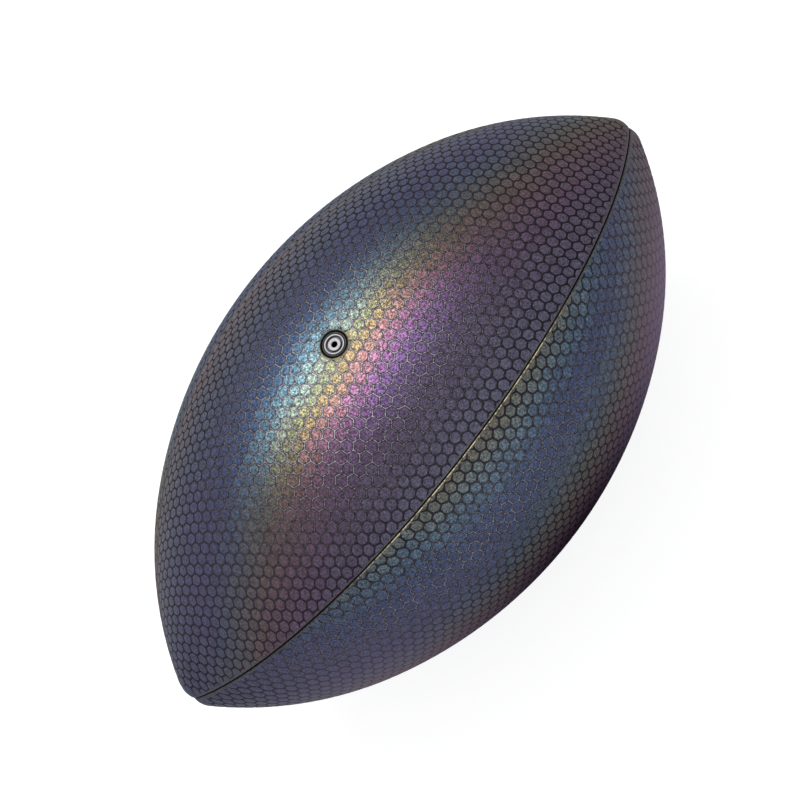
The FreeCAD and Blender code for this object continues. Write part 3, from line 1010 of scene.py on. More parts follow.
    def mesh(self) -> bpy.types.Object:
        """Builds the closed panel and turns it into its quarter.

        Returns:
            The panel's object.
        """
        plane, (ends, seams, hole) = self.face_plane()
        along, across = plane.places.T
        shell = Shell()
        face, angle = self.add_face(shell, plane)
        seams = seams[np.argsort(along[seams])]
        upper, lower = seams[across[seams] > 0][::-1], seams[across[seams] < 0]
        caps = []
        for way in (1, -1):
            row = ends[np.sign(along[ends]) == way]
            row = row[np.argsort(across[row])]
            caps.append(self.add_nose(shell, face[row], across[row], angle[row], way))
        (right, tip_along, tip_angle), (left, _, _) = caps
        stretches = [
            (right[::-1, -1], tip_along[::-1], tip_angle[::-1]),
            (face[upper], along[upper], angle[upper]),
            (left[:, -1], -tip_along, tip_angle),
            (left[-2::-1, 0], -tip_along[-2::-1], -tip_angle[-2::-1]),
            (face[lower], along[lower], angle[lower]),
            (right[:-1, 0], tip_along[:-1], -tip_angle[:-1]),
        ]
        loop, loop_along, loop_angle = (np.concatenate(parts) for parts in zip(*stretches))
        corners = np.array([0, 2 * self.nose_steps + len(upper) - 1])
        hem = self.rolled_edge(shell, loop, loop_along, loop_angle, corners)
        edge, under_hole, under_turn = self.underside(shell)
        hem_at, edge_at = (order_round_panel(shell.points[row]) for row in (hem, edge))
        shell.add_triangles(zip_loops(hem, hem_at, edge, edge_at))
        if self.hole_radius:
            wall, wall_turn = self.valve_opening(shell, face[hole])
            shell.add_triangles(zip_loops(wall, wall_turn, under_hole, under_turn))
        shell.drop_flat_triangles()
        shell.points = self.quarter.turn(shell.points)
        return shell.to_object(f"cover_{self.quarter.label}")


# ---------------------------------------------------------------- the valve


@dataclass(frozen=True)
class TurnedPart:
    """A closed section turned about the valve's axis."""

    corners: tuple[tuple[float, float, float], ...]
    turns: int = 96
    steps: int = 6

    def section(self) -> Floats:
        """The section's line, with each corner replaced by an arc.

        The arc touches both sides of its corner. Its centre lies on their bisector, at the
        radius over the sine of half their angle, and its points turn evenly round it.

        Returns:
            Rows of radius and height.
        """
        least = 1e-7
        table = np.array(self.corners)
        corner, radius = table[:, :2], np.maximum(table[:, 2], least)[:, None]
        before, after = np.roll(corner, 1, 0) - corner, np.roll(corner, -1, 0) - corner
        before[0], after[-1] = -after[0], -before[-1]
        before /= np.linalg.norm(before, axis=1)[:, None]
        after /= np.linalg.norm(after, axis=1)[:, None]
        half = np.arccos(np.clip(np.sum(before * after, 1), -1, 0.999999))[:, None] / 2
        middle = before + after
        size = np.linalg.norm(middle, axis=1)[:, None]
        flat = size[:, 0] < 1e-6
        middle = middle / np.maximum(size, 1e-9)
        centre = corner + middle * radius / np.sin(half)
        start = corner + before * radius / np.tan(half) - centre
        end = corner + after * radius / np.tan(half) - centre
        sweep = np.pi - 2 * half
        share = np.linspace(0, 1, self.steps)[None, :, None]
        wide = np.maximum(sweep, 1e-6)[:, None]
        from_start, from_end = np.sin((1 - share) * wide), np.sin(share * wide)
        arc = (from_start * start[:, None] + from_end * end[:, None]) / np.sin(wide)
        line = centre[:, None] + arc
        line[flat] = corner[flat][:, None]
        line = line.reshape(-1, 2)
        moved = np.linalg.norm(np.diff(line, axis=0), axis=1) > least
        return line[np.append(True, moved)]

    def mesh(self, name: str) -> bpy.types.Object:
        """Turns the section: x and y are the radius times cosine and sine, z is the height.

        The section starts and ends on the axis, where each end is a single vertex.

        Args:
            name: The piece's name.

        Returns:
            The piece's object.
        """
        line = self.section()
        turn = np.linspace(0, 2 * math.pi, self.turns, endpoint=False)[:, None]
        radius, height = line[1:-1].T
        grid = np.stack([radius * np.cos(turn), radius * np.sin(turn), height + 0 * turn], -1)
        shell = Shell()
        numbers = shell.add_points(grid.reshape(-1, 3)).reshape(self.turns, -1).T
        first, last = shell.add_points(np.array([[0, 0, line[0, 1]], [0, 0, line[-1, 1]]]))
        rings = [np.full(self.turns, first), *numbers, np.full(self.turns, last)]
        for one, two in zip(rings, rings[1:]):
            shell.add_triangles(ladder(one, two, closed=True))
        shell.drop_flat_triangles()
        return shell.to_object(name)


@dataclass
class Valve:
    """The black valve body set in the top panel, and the plug pushed into it.

    Each row of a section is a corner's radius, height and rounding.
    """

    top: float
    body_bottom: float
    plug_bottom: float
    head_radius: float
    collar_radius: float
    rim_radius: float = 5.1 * MM
    head_depth: float = 2.0 * MM
    stem_radius: float = 2.9 * MM
    play: float = 0.05 * MM
    collar_drop: float = 6.9 * MM
    collar_thickness: float = 1.5 * MM
    needle_radius: float = 1.2 * MM
    needle_depth: float = 13.0 * MM
    groove_outer: float = 3.45 * MM
    boss_radius: float = 2.5 * MM
    groove_depth: float = 0.9 * MM

    @classmethod
    def from_frame(cls) -> "Valve":
        """Takes the valve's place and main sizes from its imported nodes."""
        body_low, body_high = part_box("valve_body")
        plug_low, plug_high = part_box("valve_plug")
        patch_low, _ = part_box("bladder_valve_patch")
        glue = 0.3 * MM
        return cls(
            top=body_high.z,
            body_bottom=body_low.z,
            plug_bottom=plug_low.z,
            head_radius=plug_high.x,
            collar_radius=body_high.x,
            collar_drop=body_high.z - patch_low.z + glue,
        )

    def body(self) -> bpy.types.Object:
        """The moulded body: a raised round rim, the bore for the plug and the glued collar.

        Returns:
            The body's object.
        """
        rim, bore, top = self.rim_radius, self.head_radius + self.play, self.top
        seat = top - self.head_depth - self.play
        stem = self.stem_radius + self.play
        collar = top - self.collar_drop
        corners = (
            (0.0, self.plug_bottom - self.play, 0.0),
            (stem, self.plug_bottom - self.play, 0.0),
            (stem, seat, 0.15 * MM),
            (bore, seat, 0.1 * MM),
            (bore, top, 0.3 * MM),
            (rim, top, 0.6 * MM),
            (rim, collar, 0.2 * MM),
            (self.collar_radius, collar, 0.25 * MM),
            (self.collar_radius, collar - self.collar_thickness, 0.4 * MM),
            (rim, collar - self.collar_thickness, 0.4 * MM),
            (rim, self.body_bottom, 1.2 * MM),
            (0.0, self.body_bottom, 0.0),
        )
        return TurnedPart(corners[::-1]).mesh("valve_rim_and_body")

    def plug(self) -> bpy.types.Object:
        """The plug: a needle hole in a raised boss, a ring groove, a thin rim and a ribbed stem.

        Returns:
            The plug's object.
        """
        top, head, stem = self.top, self.head_radius, self.stem_radius
        floor = top - self.groove_depth
        under = top - self.head_depth
        rib, ribs = 0.22 * MM, (5.0 * MM, 8.0 * MM, 11.0 * MM, 14.0 * MM)
        corners = [
            (0.0, top - self.needle_depth, 0.0),
            (self.needle_radius, top - self.needle_depth, 0.3 * MM),
            (self.needle_radius, top - 0.12 * MM, 0.3 * MM),
            (self.boss_radius, top - 0.02 * MM, 0.35 * MM),
            (self.boss_radius + 0.12 * MM, floor, 0.2 * MM),
            (self.groove_outer - 0.08 * MM, floor, 0.2 * MM),
            (self.groove_outer, top, 0.12 * MM),
            (head, top, 0.15 * MM),
            (head, under, 0.25 * MM),
            (stem, under, 0.2 * MM),
        ]
        for drop in ribs:
            height = top - drop
            corners += [
                (stem, height, 0.1 * MM),
                (stem - rib, height - 0.35 * MM, 0.15 * MM),
                (stem - rib, height - 0.75 * MM, 0.15 * MM),
                (stem, height - 1.1 * MM, 0.1 * MM),
            ]
        corners += [(stem, self.plug_bottom, 0.8 * MM), (0.0, self.plug_bottom, 0.0)]
        return TurnedPart(tuple(corners[::-1])).mesh("valve_needle_plug")


# ---------------------------------------------------------------- finishes


def linear(colour: Colour) -> Linear:
    """A display colour of 0 to 255 as the linear colour that a socket takes."""
    share = np.array(colour) / 255
    low, high = share / 12.92, ((share + 0.055) / 1.055) ** 2.4
    return (*np.where(share <= 0.04045, low, high).tolist(), 1.0)


class Bench:
    """The node tree of a material or a sky, with short ways to add nodes and join them."""

    def __init__(self, name: str, is_sky: bool = False) -> None:
        """Starts an empty material or sky.

        Args:
            name: Its name.
            is_sky: Whether it is a sky.
        """
        self.made = (bpy.data.worlds if is_sky else bpy.data.materials).new(name)
        self.made.use_nodes = True
        self.tree = self.made.node_tree
        self.tree.nodes.clear()

    def add(
        self, kind: str, inputs: dict[str | int, object] | None = None, **settings: object
    ) -> bpy.types.Node:
        """Adds a node.

        Args:
            kind: The node's type, without the leading ShaderNode.
            inputs: Constants or sockets for its inputs, by name or number.
            settings: Properties of the node itself.

        Returns:
            The node.
        """
        node = self.tree.nodes.new("ShaderNode" + kind)
        for key, value in settings.items():
            setattr(node, key, value)
        for key, value in (inputs or {}).items():
            if isinstance(value, Socket):
                self.tree.links.new(value, node.inputs[key])
            else:
                node.inputs[key].default_value = value
        return node

    def math(self, operation: str, *values: object, clamp: bool = False) -> Socket:
        """A Math node's result."""
        inputs = dict(enumerate(values))
        return self.add("Math", inputs, operation=operation, use_clamp=clamp).outputs[0]

    def times(self, *values: object, clamp: bool = False) -> Socket:
        """The product of two values or more, held to 0 to 1 at the end if asked."""
        *rest, last = values
        product = rest[0] if len(rest) == 1 else self.times(*rest)
        return self.math("MULTIPLY", product, last, clamp=clamp)

    def mix(self, share: object, first: Socket | Colour, second: Socket | Colour) -> Socket:
        """A colour between two others; a colour of its own is given as a display colour."""
        colours = [row if isinstance(row, Socket) else linear(row) for row in (first, second)]
        inputs = {"Factor": share, 6: colours[0], 7: colours[1]}
        return self.add("Mix", inputs, data_type="RGBA").outputs[2]

    def mix_value(self, share: object, first: object, second: object) -> Socket:
        """A number between two others."""
        return self.add("Mix", {0: share, 2: first, 3: second}).outputs[0]

    def shade(self, colour: Socket, value: Socket) -> Socket:
        """A colour made brighter or darker by a factor."""
        return self.add("HueSaturation", {"Value": value, "Color": colour}).outputs[0]

    def attribute(self, name: str) -> Socket:
        """A value stored on the mesh."""
        return self.add("Attribute", attribute_name=name).outputs["Fac"]

    def place(self) -> Socket:
        """The object's own coordinates."""
        return self.add("TexCoord").outputs["Object"]

    def axes(self) -> bpy.types.bpy_prop_collection:
        """The object's own X, Y and Z."""
        return self.add("SeparateXYZ", {"Vector": self.place()}).outputs

    def from_axis(self, axes: bpy.types.bpy_prop_collection) -> Socket:
        """Distance from the valve's axis, sqrt(x^2 + y^2)."""
        squares = [self.math("POWER", axes[name], 2.0) for name in "XY"]
        return self.math("SQRT", self.math("ADD", *squares))

    def noise(self, scale: float, detail: float = 2.0, roughness: float = 0.5) -> Socket:
        """Soft noise of 0 to 1 in the object's own coordinates; scale counts cells in a metre."""
        inputs = {"Vector": self.place(), "Scale": scale, "Detail": detail, "Roughness": roughness}
        return self.add("TexNoise", inputs).outputs["Fac"]

    def drift(self, scale: float, low: float, high: float, detail: float = 2.0) -> Socket:
        """Soft noise whose middle part, from 0.3 to 0.7, is carried to another range."""
        return self.span(self.noise(scale, detail), 0.3, 0.7, low, high)

    def span(
        self,
        value: object,
        low: float,
        high: float,
        to_low: float = 0.0,
        to_high: float = 1.0,
        smooth: bool = False,
    ) -> Socket:
        """A value carried from one range to another, held at both ends."""
        kind = "SMOOTHSTEP" if smooth else "LINEAR"
        inputs = {0: value, 1: low, 2: high, 3: to_low, 4: to_high}
        return self.add("MapRange", inputs, interpolation_type=kind).outputs[0]

    def ramp(self, value: object, stops: dict[float, Linear]) -> Socket:
        """A colour read from stops along 0 to 1."""
        node = self.add("ValToRGB", {"Fac": value})
        band = node.color_ramp
        first, *rest = sorted(stops.items())
        band.elements.remove(band.elements[1])
        band.elements[0].position, band.elements[0].color = first
        for position, colour in rest:
            band.elements.new(position).color = colour
        return node.outputs["Color"]

    def bump(
        self, height: object, distance: float, strength: float = 1.0, under: object = None
    ) -> Socket:
        """A normal tipped by a height of 0 to 1 that stands for a real distance."""
        inputs = {"Height": height, "Distance": distance, "Strength": strength}
        if under is not None:
            inputs["Normal"] = under
        return self.add("Bump", inputs).outputs["Normal"]

    def finish(self, **inputs: object) -> bpy.types.Material:
        """Ends the material in a Principled shader.

        Args:
            inputs: Its inputs, by name with _ for a space.

        Returns:
            The material.
        """
        named = {key.replace("_", " "): value for key, value in inputs.items()}
        shader = self.add("BsdfPrincipled", named)
        self.add("OutputMaterial", {"Surface": shader.outputs[0]})
        return self.made


DULL_HUES = {
    -70: (94, 82, 90), -57: (84, 84, 96), -45: (74, 80, 100), -33: (68, 72, 98),
    -22: (64, 68, 95), -12: (66, 76, 93), -4: (78, 80, 80), 4: (88, 76, 72),
    12: (90, 71, 80), 22: (86, 70, 89), 35: (84, 75, 94), 50: (86, 83, 102),
    70: (88, 85, 103),
}
HIGHLIGHT_HUES = {
    -50: (66, 80, 104), -34: (76, 94, 132), -23: (84, 130, 176), -14: (150, 200, 218),
    -8: (200, 222, 208), -3: (206, 208, 158), 2: (226, 196, 146), 7: (234, 170, 178),
    12: (210, 148, 202), 18: (182, 136, 212), 25: (154, 130, 192), 34: (116, 106, 136),
    50: (88, 84, 104),
}


@dataclass(frozen=True)
class ShimmerFilm:
    """The printed cover: a dark film; its dull and painted highlight hues follow the panel's phase.

    The hues' keys are millimetres of phase. A painted highlight runs along the crest of each
    seam's lips over the middle of the ball, and ends between the two distances of its span.
    """

    hole_radius: float = 0.0
    lip_highlight: float = 0.15
    phase_span: float = 80.0
    highlight_span: tuple[float, float] = (36 * MM, 76 * MM)

    def hues(self, table: dict[int, Colour]) -> dict[float, Linear]:
        """Colour stops by millimetres of phase, as ramp positions."""
        width = 2 * self.phase_span
        return {(key + self.phase_span) / width: linear(colour) for key, colour in table.items()}

    def pads(self, bench: Bench, grain: Socket) -> Socket:
        """The colour of the raised pads: dull hues, and painted highlight hues where a highlight is
        painted.

        Args:
            bench: The material in the making.
            grain: The film's fine grain, from 0 to 1.

        Returns:
            The colour.
        """
        pad, painted_highlight = bench.attribute("pad"), bench.attribute("painted_highlight")
        by_pad = bench.span(pad, 0.0, 1.0, -1.3, 1.3)
        jitter = bench.math("ADD", bench.drift(45.0, -2.0, 2.0), by_pad)
        phase = bench.math("ADD", bench.attribute("phase"), jitter)
        spot = bench.span(phase, -self.phase_span, self.phase_span)
        dull, bright = (bench.ramp(spot, self.hues(table)) for table in (DULL_HUES, HIGHLIGHT_HUES))
        # Painted highlight: the highlight hues take over where the panel's painted highlight lies,
        # broken up by the grain.
        shown = bench.times(painted_highlight, bench.span(grain, 0.40, 0.60, 0.32, 1.36), clamp=True)
        sparkle = bench.span(bench.noise(2100.0, 2.0, 0.6), 0.40, 0.60, 0.66, 1.36)
        evenness = bench.span(pad, 0.0, 1.0, 0.94, 1.06)
        value = bench.times(evenness, bench.span(grain, 0.36, 0.64, 0.46, 1.54), sparkle)
        return bench.shade(bench.mix(shown, dull, bright), value)

    def material(self, name: str) -> bpy.types.Material:
        """The film for one panel.

        Args:
            name: The material's name.

        Returns:
            The material.
        """
        bench = Bench(name)
        grain = bench.noise(1150.0, 3.0, 0.85)
        groove, hem = bench.attribute("groove"), bench.attribute("hem")
        surface = self.pads(bench, grain)
        in_groove = bench.span(groove, 0.10, 0.42, smooth=True)
        ridge = bench.span(groove, 0.50, 0.82, smooth=True)
        broken = bench.span(grain, 0.43, 0.57, 0.22, 1.4)
        # Painted highlight: the grooves' edges turn pale lilac where light would catch them.
        lit = bench.times(bench.attribute("groove_highlight"), ridge, broken, clamp=True)
        line = bench.mix(lit, (24, 20, 25), (218, 210, 221))
        painted_sheen, dark = bench.attribute("painted_sheen"), bench.attribute("dark")
        line_share = bench.times(in_groove, bench.span(painted_sheen, 0.1, 0.5, 1.0, 0.25))
        surface = bench.mix(line_share, surface, line)
        # Painted shade: a near-black zone on the front panel, where it turns away from the lamps.
        surface = bench.mix(dark, surface, (27, 15, 24))
        # Painted sheen: pale lilac patches towards the panels' ends and limbs.
        surface = bench.mix(painted_sheen, surface, (150, 126, 156))
        if self.hole_radius:
            # Painted shade: a soft dark halo on the film round the valve's rim.
            near, far = (self.hole_radius + gap for gap in (0.4 * MM, 1.9 * MM))
            painted_halo_shade = bench.span(bench.from_axis(bench.axes()), near, far, 0.6, 0.0, smooth=True)
            surface = bench.mix(painted_halo_shade, surface, (24, 22, 25))
        shut = bench.span(hem, 0.40, 0.80, smooth=True)
        surface = bench.mix(shut, surface, (10, 9, 11))
        # Painted highlight: a cream line along the crest of each rolled seam edge over the middle
        # of the ball, with lower roughness there.
        over = bench.span(hem, 0.08, 0.26, smooth=True)
        crest = bench.times(over, bench.span(hem, 0.40, 0.60, 1.0, 0.0, smooth=True))
        along = bench.math("ABSOLUTE", bench.axes()["X"])
        middle = bench.span(along, *self.highlight_span, self.lip_highlight, 0.0, smooth=True)
        patchy = bench.span(bench.noise(800.0, 3.0), 0.42, 0.56, 0.1, 1.0)
        wear_and_highlight = bench.times(crest, middle, patchy, clamp=True)
        rough = bench.math("ADD", bench.drift(1400.0, 0.42, 0.56), bench.times(in_groove, 0.2))
        fine = bench.bump(grain, 0.07 * MM, 0.7)
        # The coat thins out over the painted shade zone.
        plain = bench.math("SUBTRACT", 1.0, dark, clamp=True)
        return bench.finish(
            Base_Color=bench.mix(wear_and_highlight, surface, (244, 228, 184)),
            Roughness=bench.mix_value(wear_and_highlight, rough, 0.3),
            Specular_IOR_Level=0.0,
            Coat_Weight=bench.times(plain, plain, bench.span(in_groove, 0.0, 1.0, 0.42, 0.2)),
            Coat_Roughness=0.4,
            Coat_Normal=fine,
            Normal=bench.bump(bench.noise(700.0, 3.0), 0.05 * MM, 0.35, fine),
        )


@dataclass(frozen=True)
class MouldedRubber:
    """Smooth moulded rubber, with faint flow marks and dust."""

    colour: Colour
    wear_and_highlight: Colour
    roughness: float

    def material(self, name: str) -> bpy.types.Material:
        """The rubber as a material named as asked."""
        bench = Bench(name)
        cloud = bench.span(bench.noise(500.0, 4.0), 0.35, 0.75)
        speck = bench.span(bench.noise(4200.0, 1.0), 0.6, 0.75, 0.0, 0.5)
        share = bench.math("ADD", bench.times(cloud, 0.5), speck, clamp=True)
        return bench.finish(
            Base_Color=bench.mix(share, self.colour, self.wear_and_highlight),
            Roughness=bench.drift(1800.0, self.roughness - 0.05, self.roughness + 0.08),
            Specular_IOR_Level=0.5,
            Normal=bench.bump(bench.noise(2400.0, 3.0), 0.02 * MM, 0.4),
        )


@dataclass(frozen=True)
class RingedPlug:
    """The plug's rubber: pale boss and rim as a painted highlight, painted shade between and below.
    """

    pale: Colour
    groove_shade: Colour
    face_height: float
    boss_radius: float
    rim_inner: float

    def material(self, name: str) -> bpy.types.Material:
        """The plug's rubber as a material named as asked."""
        bench = Bench(name)
        axes = bench.axes()
        across, boss, rim = bench.from_axis(axes), self.boss_radius, self.rim_inner
        off_boss = bench.span(across, boss - 0.15 * MM, boss + 0.1 * MM)
        off_rim = bench.span(across, rim - 0.2 * MM, rim + 0.05 * MM, 1.0, 0.0)
        outside = bench.span(across, rim + 0.35 * MM, rim + 0.5 * MM)
        deep, shallow = (self.face_height - depth for depth in (0.6 * MM, 0.2 * MM))
        low = bench.span(axes["Z"], deep, shallow, 1.0, 0.0)
        lower = bench.math("MAXIMUM", outside, low)
        # Painted shade in the groove, below the face and outside the rim; the pale boss and rim are
        # a painted highlight.
        shade_share = bench.math("MAXIMUM", bench.times(off_boss, off_rim), lower)
        colour = bench.mix(shade_share, self.pale, self.groove_shade)
        return bench.finish(
            Base_Color=bench.shade(colour, bench.drift(900.0, 0.82, 1.1, 3.0)),
            Roughness=bench.drift(1800.0, 0.26, 0.38),
            Specular_IOR_Level=0.5,
            Normal=bench.bump(bench.noise(2400.0, 3.0), 0.02 * MM, 0.4),
        )


@dataclass(frozen=True)
class WovenCloth:
    """Plain-woven cloth: two crossing sets of threads that pass over each other in turn."""

    warp: Colour
    weft: Colour
    threads_per_metre: float = 1400.0

    def material(self, name: str) -> bpy.types.Material:
        """The cloth as a material named as asked."""
        bench = Bench(name)
        axes = bench.axes()
        count, round_radius = self.threads_per_metre * math.pi, 0.07
        wave_x = bench.math("SINE", bench.times(axes["X"], count))
        turn = bench.math("ARCTAN2", axes["Y"], axes["Z"])
        over = bench.times(wave_x, bench.math("SINE", bench.times(turn, count * round_radius)))
        height = bench.span(over, -1.0, 1.0)
        colour = bench.mix(bench.span(over, -0.3, 0.3), self.warp, self.weft)
        return bench.finish(
            Base_Color=bench.shade(colour, bench.drift(5000.0, 0.88, 1.1, 3.0)),
            Roughness=bench.span(height, 0.0, 1.0, 0.95, 0.8),
            Sheen_Weight=0.2,
            Normal=bench.bump(height, 0.12 * MM, 0.8),
        )


@dataclass(frozen=True)
class CellFoam:
    """Closed-cell foam: pale, with fine pits."""

    colour: Colour
    pit: Colour

    def material(self, name: str) -> bpy.types.Material:
        """The foam as a material named as asked."""
        bench = Bench(name)
        cells = bench.add("TexVoronoi", {"Vector": bench.place(), "Scale": 1600.0})
        wall = bench.span(cells.outputs["Distance"], 0.15, 0.6, smooth=True)
        return bench.finish(
            Base_Color=bench.mix(wall, self.pit, self.colour),
            Roughness=bench.drift(900.0, 0.82, 0.95),
            Normal=bench.bump(wall, 0.1 * MM, 0.7),
        )


@dataclass(frozen=True)
class TwistedThread:
    """Waxed twisted thread: slanting strands with a dull shine."""

    colour: Colour
    strand: Colour

    def material(self, name: str) -> bpy.types.Material:
        """The thread as a material named as asked."""
        bench = Bench(name)
        turned = {"Vector": bench.place(), "Rotation": (0.4, 0.6, 0.7)}
        place = bench.add("Mapping", turned).outputs[0]
        strands = {"Vector": place, "Scale": 900.0, "Distortion": 1.5}
        wave = bench.add("TexWave", strands).outputs["Fac"]
        return bench.finish(
            Base_Color=bench.mix(wave, self.colour, self.strand),
            Roughness=bench.span(wave, 0.0, 1.0, 0.6, 0.42),
            Normal=bench.bump(wave, 0.08 * MM, 0.8),
        )


# ---------------------------------------------------------------- the stage


@dataclass(frozen=True)
class Studio:
    """A pale floor, an even sky, a key lamp over the valve and a cool fill lamp at the side."""

    floor_height: float
    lens: float = 103.6
    distance: float = 0.9156
    tilt: float = math.radians(-1.833)
    swing: float = math.radians(-27.08)
    roll: float = math.radians(52.70)
    slide: tuple[float, float] = (-4.04 * MM, 3.92 * MM)
    lamp_size: float = 0.7
    lamp_distance: float = 1.3

    def camera(self) -> None:
        """Puts the camera beside and above the ball, rolled so that the ball stands aslant."""
        way = Vector(
            (
                math.sin(self.tilt),
                math.sin(self.swing) * math.cos(self.tilt),
                math.cos(self.swing) * math.cos(self.tilt),
            )
        )
        along = (Vector((1, 0, 0)) - way * way.x).normalized()
        across = way.cross(along)
        right = along * math.cos(self.roll) - across * math.sin(self.roll)
        up = along * math.sin(self.roll) + across * math.cos(self.roll)
        data = bpy.data.cameras.new("camera")
        data.lens = self.lens
        data.sensor_width = 36.0
        data.clip_start, data.clip_end = 0.01, 50.0
        made = bpy.data.objects.new("camera", data)
        place = way * self.distance + right * self.slide[0] + up * self.slide[1]
        turn = Matrix((right, up, way)).transposed().to_4x4()
        made.matrix_world = Matrix.Translation(place) @ turn
        bpy.context.scene.collection.objects.link(made)
        bpy.context.scene.camera = made

    def floor(self) -> bpy.types.Object:
        """A wide floor, white to the camera, that keeps the shadow and throws little light back.

        Returns:
            The floor's object.
        """
        size = 8.0
        corners = ((-size, -size), (size, -size), (size, size), (-size, size))
        mesh = bpy.data.meshes.new("floor")
        mesh.from_pydata([(x, y, self.floor_height) for x, y in corners], [], [(0, 1, 2, 3)])
        made = bpy.data.objects.new("floor", mesh)
        bpy.context.scene.collection.objects.link(made)
        bench = Bench("floor")
        path = bench.add("LightPath").outputs
        mirrored = bench.math("MAXIMUM", path["Is Glossy Ray"], path["Is Transmission Ray"])
        seen = bench.math("MAXIMUM", path["Is Camera Ray"], mirrored)
        lit = bench.add("BsdfDiffuse", {"Color": (0.5, 0.5, 0.5, 1)}).outputs[0]
        strength = bench.span(path["Is Camera Ray"], 0.0, 1.0, 0.5, 0.79)
        own = bench.add("Emission", {"Color": (1, 1, 1, 1), "Strength": strength}).outputs[0]
        shown = bench.add("AddShader", {0: lit, 1: own}).outputs[0]
        dim = bench.add("BsdfDiffuse", {"Color": (0.22, 0.22, 0.23, 1)}).outputs[0]
        surface = bench.add("MixShader", {0: seen, 1: dim, 2: shown}).outputs[0]
        bench.add("OutputMaterial", {"Surface": surface})
        made.data.materials.append(bench.made)
        return made

    def light(self) -> None:
        """An even white sky, a lamp that mirrors the camera about the valve, and a cool fill."""
        bench = Bench("sky", is_sky=True)
        bpy.context.scene.world = bench.made
        seen = bench.add("LightPath").outputs["Is Camera Ray"]
        strength = bench.span(seen, 0.0, 1.0, 0.5, 1.0)
        even = bench.add("Background", {"Color": (1, 1, 1, 1), "Strength": strength}).outputs[0]
        bench.add("OutputWorld", {"Surface": even})
        self.lamp("key", (0.03, 0.47, 0.88), 7.6, (1.0, 1.0, 1.0))
        self.lamp("fill", (0.0, -0.97, 0.22), 4.4, (0.80, 0.87, 1.0))

    def lamp(
        self,
        name: str,
        way: tuple[float, float, float],
        power: float,
        tint: tuple[float, float, float],
    ) -> None:
        """A square lamp that looks at the ball.

        Args:
            name: The lamp's name.
            way: Direction from the ball to the lamp.
            power: Its power in watts.
            tint: Its colour.
        """
        data = bpy.data.lights.new(name, "AREA")
        data.shape, data.size = "SQUARE", self.lamp_size
        data.energy, data.color = power, tint
        made = bpy.data.objects.new(name, data)
        towards = Vector(way).normalized()
        made.location = towards * self.lamp_distance
        made.rotation_euler = towards.to_track_quat("Z", "Y").to_euler()
        bpy.context.scene.collection.objects.link(made)


# ---------------------------------------------------------------- putting it together


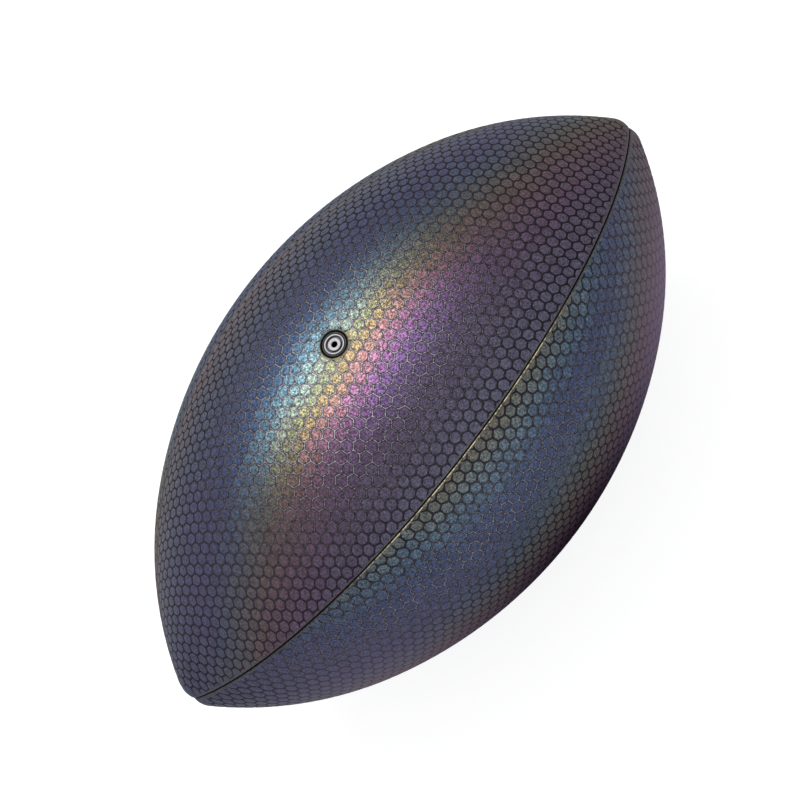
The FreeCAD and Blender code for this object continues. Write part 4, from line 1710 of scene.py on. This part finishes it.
@dataclass
class RugbyBall:
    """The whole ball: four cover panels, the valve, and finishes for the layers inside."""

    lobe: Lobe
    valve: Valve

    @classmethod
    def from_frame(cls) -> "RugbyBall":
        """Takes the ball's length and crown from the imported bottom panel, which has no hole."""
        low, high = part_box("cover_panel_bottom")
        return cls(Lobe(half_length=high.x, crown=-low.z), Valve.from_frame())

    def shimmers(self) -> dict[Quarter, Shimmer]:
        """The colours' places on each panel, as listed.

        Returns:
            The shimmer of each quarter.
        """
        knots = (-125.0, -84.0, -56.0, 0.0, 40.0, 100.0, 140.0)
        return {
            Quarter.TOP: Shimmer(
                knots,
                (29.0, 19.0, 13.5, 7.0, 2.0, 4.0, -4.0),
                1.0,
                painted_highlight=Bell((-5.0, 6.0), (35.5, 19.5), 1.15, lean=0.14),
                groove_highlight=Bell((-6.0, 8.0), (52.0, 30.0), 1.0),
                # Painted sheens towards both ends of the top panel.
                painted_sheens=(
                    Bell((-115.0, 10.0), (45.0, 60.0), 0.09),
                    Bell((110.0, -20.0), (40.0, 40.0), 0.05),
                ),
                pad_shift=(-0.85 * MM, 0.0),
            ),
            Quarter.FRONT: Shimmer(
                knots,
                (-59.0, -61.0, -63.0, -63.0, -63.0, -59.0, -53.0),
                -1.0,
                painted_highlight=Bell((5.0, -44.0), (120.0, 24.0), 0.13),
                groove_highlight=Bell((-22.0, -33.0), (110.0, 15.0), 0.4),
                # Painted shade where the front panel turns down, away from the lamps.
                dark=Bell((5.0, 22.0), (66.0, 26.0), 0.9),
                second_band=(14.0, 8.0, 2.0, -6.5, -11.5, -17.0, -13.0),
                # Painted sheens towards both ends of the front panel.
                painted_sheens=(
                    Bell((108.0, 14.0), (50.0, 34.0), 0.5),
                    Bell((-95.0, 8.0), (48.0, 32.0), 0.3),
                ),
                # A painted highlight along this panel's seam lips.
                lip_highlight=1.0,
                pad_shift=(1.2 * MM, 0.6 * MM),
            ),
            Quarter.BOTTOM: Shimmer(
                knots,
                (-14.0, -11.0, -8.0, -3.0, 2.0, 8.0, 12.0),
                1.0,
                painted_highlight=Bell((20.0, -2.0), (46.0, 22.0), 0.55, lean=-0.1),
                groove_highlight=Bell((20.0, 0.0), (60.0, 30.0), 0.5),
            ),
            Quarter.REAR: Shimmer(
                knots,
                (40.0, 37.0, 34.0, 30.0, 34.0, 40.0, 46.0),
                -1.0,
                painted_highlight=Bell((-25.0, 28.0), (60.0, 18.0), 0.40, lean=0.05),
                groove_highlight=Bell((-25.0, 20.0), (80.0, 24.0), 0.4),
            ),
        }

    def covers(self) -> None:
        """Builds, dresses and places the four cover panels."""
        for quarter, shimmer in self.shimmers().items():
            hole = self.valve.rim_radius + 0.15 * MM if quarter is Quarter.TOP else 0.0
            panel = CoverPanel(quarter, self.lobe, shimmer, hole_radius=hole).mesh()
            film = ShimmerFilm(hole_radius=hole, lip_highlight=shimmer.lip_highlight)
            panel.data.materials.append(film.material(f"film_{quarter.label}"))
            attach(panel, "ball")
            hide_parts(f"cover_panel_{quarter.label}")

    def valve_pieces(self) -> None:
        """Builds, dresses and places the valve's body and plug."""
        body = self.valve.body()
        black = MouldedRubber((8, 7, 9), (16, 15, 18), 0.26)
        body.data.materials.append(black.material("valve_black"))
        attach(body, "ball")
        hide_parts("valve_body")
        plug = self.valve.plug()
        # The pale grey is a painted highlight on the plug's boss and rim; the near black is painted
        # shade.
        pale, groove_shade = (206, 203, 207), (13, 12, 14)
        sizes = (self.valve.top, self.valve.boss_radius, self.valve.groove_outer)
        rings = RingedPlug(pale, groove_shade, *sizes)
        plug.data.materials.append(rings.material("plug_grey"))
        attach(plug, "plug")
        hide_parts("valve_plug")

    def inner_layers(self) -> None:
        """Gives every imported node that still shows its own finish."""
        finishes = {
            "foam_backing": CellFoam((222, 216, 200), (178, 170, 152)).material("foam"),
            "lining_cloth": WovenCloth((232, 226, 212), (214, 206, 190)).material("lining"),
            "seam_thread": TwistedThread((26, 25, 29), (52, 50, 56)).material("thread"),
            "bladder_valve_patch": MouldedRubber((32, 32, 34), (56, 55, 56), 0.5).material("patch"),
            "bladder": MouldedRubber((24, 24, 25), (44, 43, 44), 0.42).material("bladder"),
            "valve_hole_ring": MouldedRubber((40, 40, 42), (62, 61, 62), 0.55).material("ring"),
        }
        for name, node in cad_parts.items():
            if node.hide_render:
                continue
            finish = next(finish for start, finish in finishes.items() if name.startswith(start))
            if not node.material_slots:
                node.data.materials.append(finish)
            for slot in node.material_slots:
                slot.material = finish
            LOG.info("%s: finish %s", name, finish.name)


def main() -> None:
    """Builds the ball and its studio."""
    logging.basicConfig(level=logging.INFO, format="%(name)s: %(message)s")
    ball = RugbyBall.from_frame()
    ball.covers()
    ball.valve_pieces()
    ball.inner_layers()
    low, _ = CAD_BOX
    studio = Studio(floor_height=low.z)
    studio.camera()
    studio.floor()
    studio.light()
    bpy.context.scene.view_settings.view_transform = "Standard"


if __name__ == "__main__":
    main()
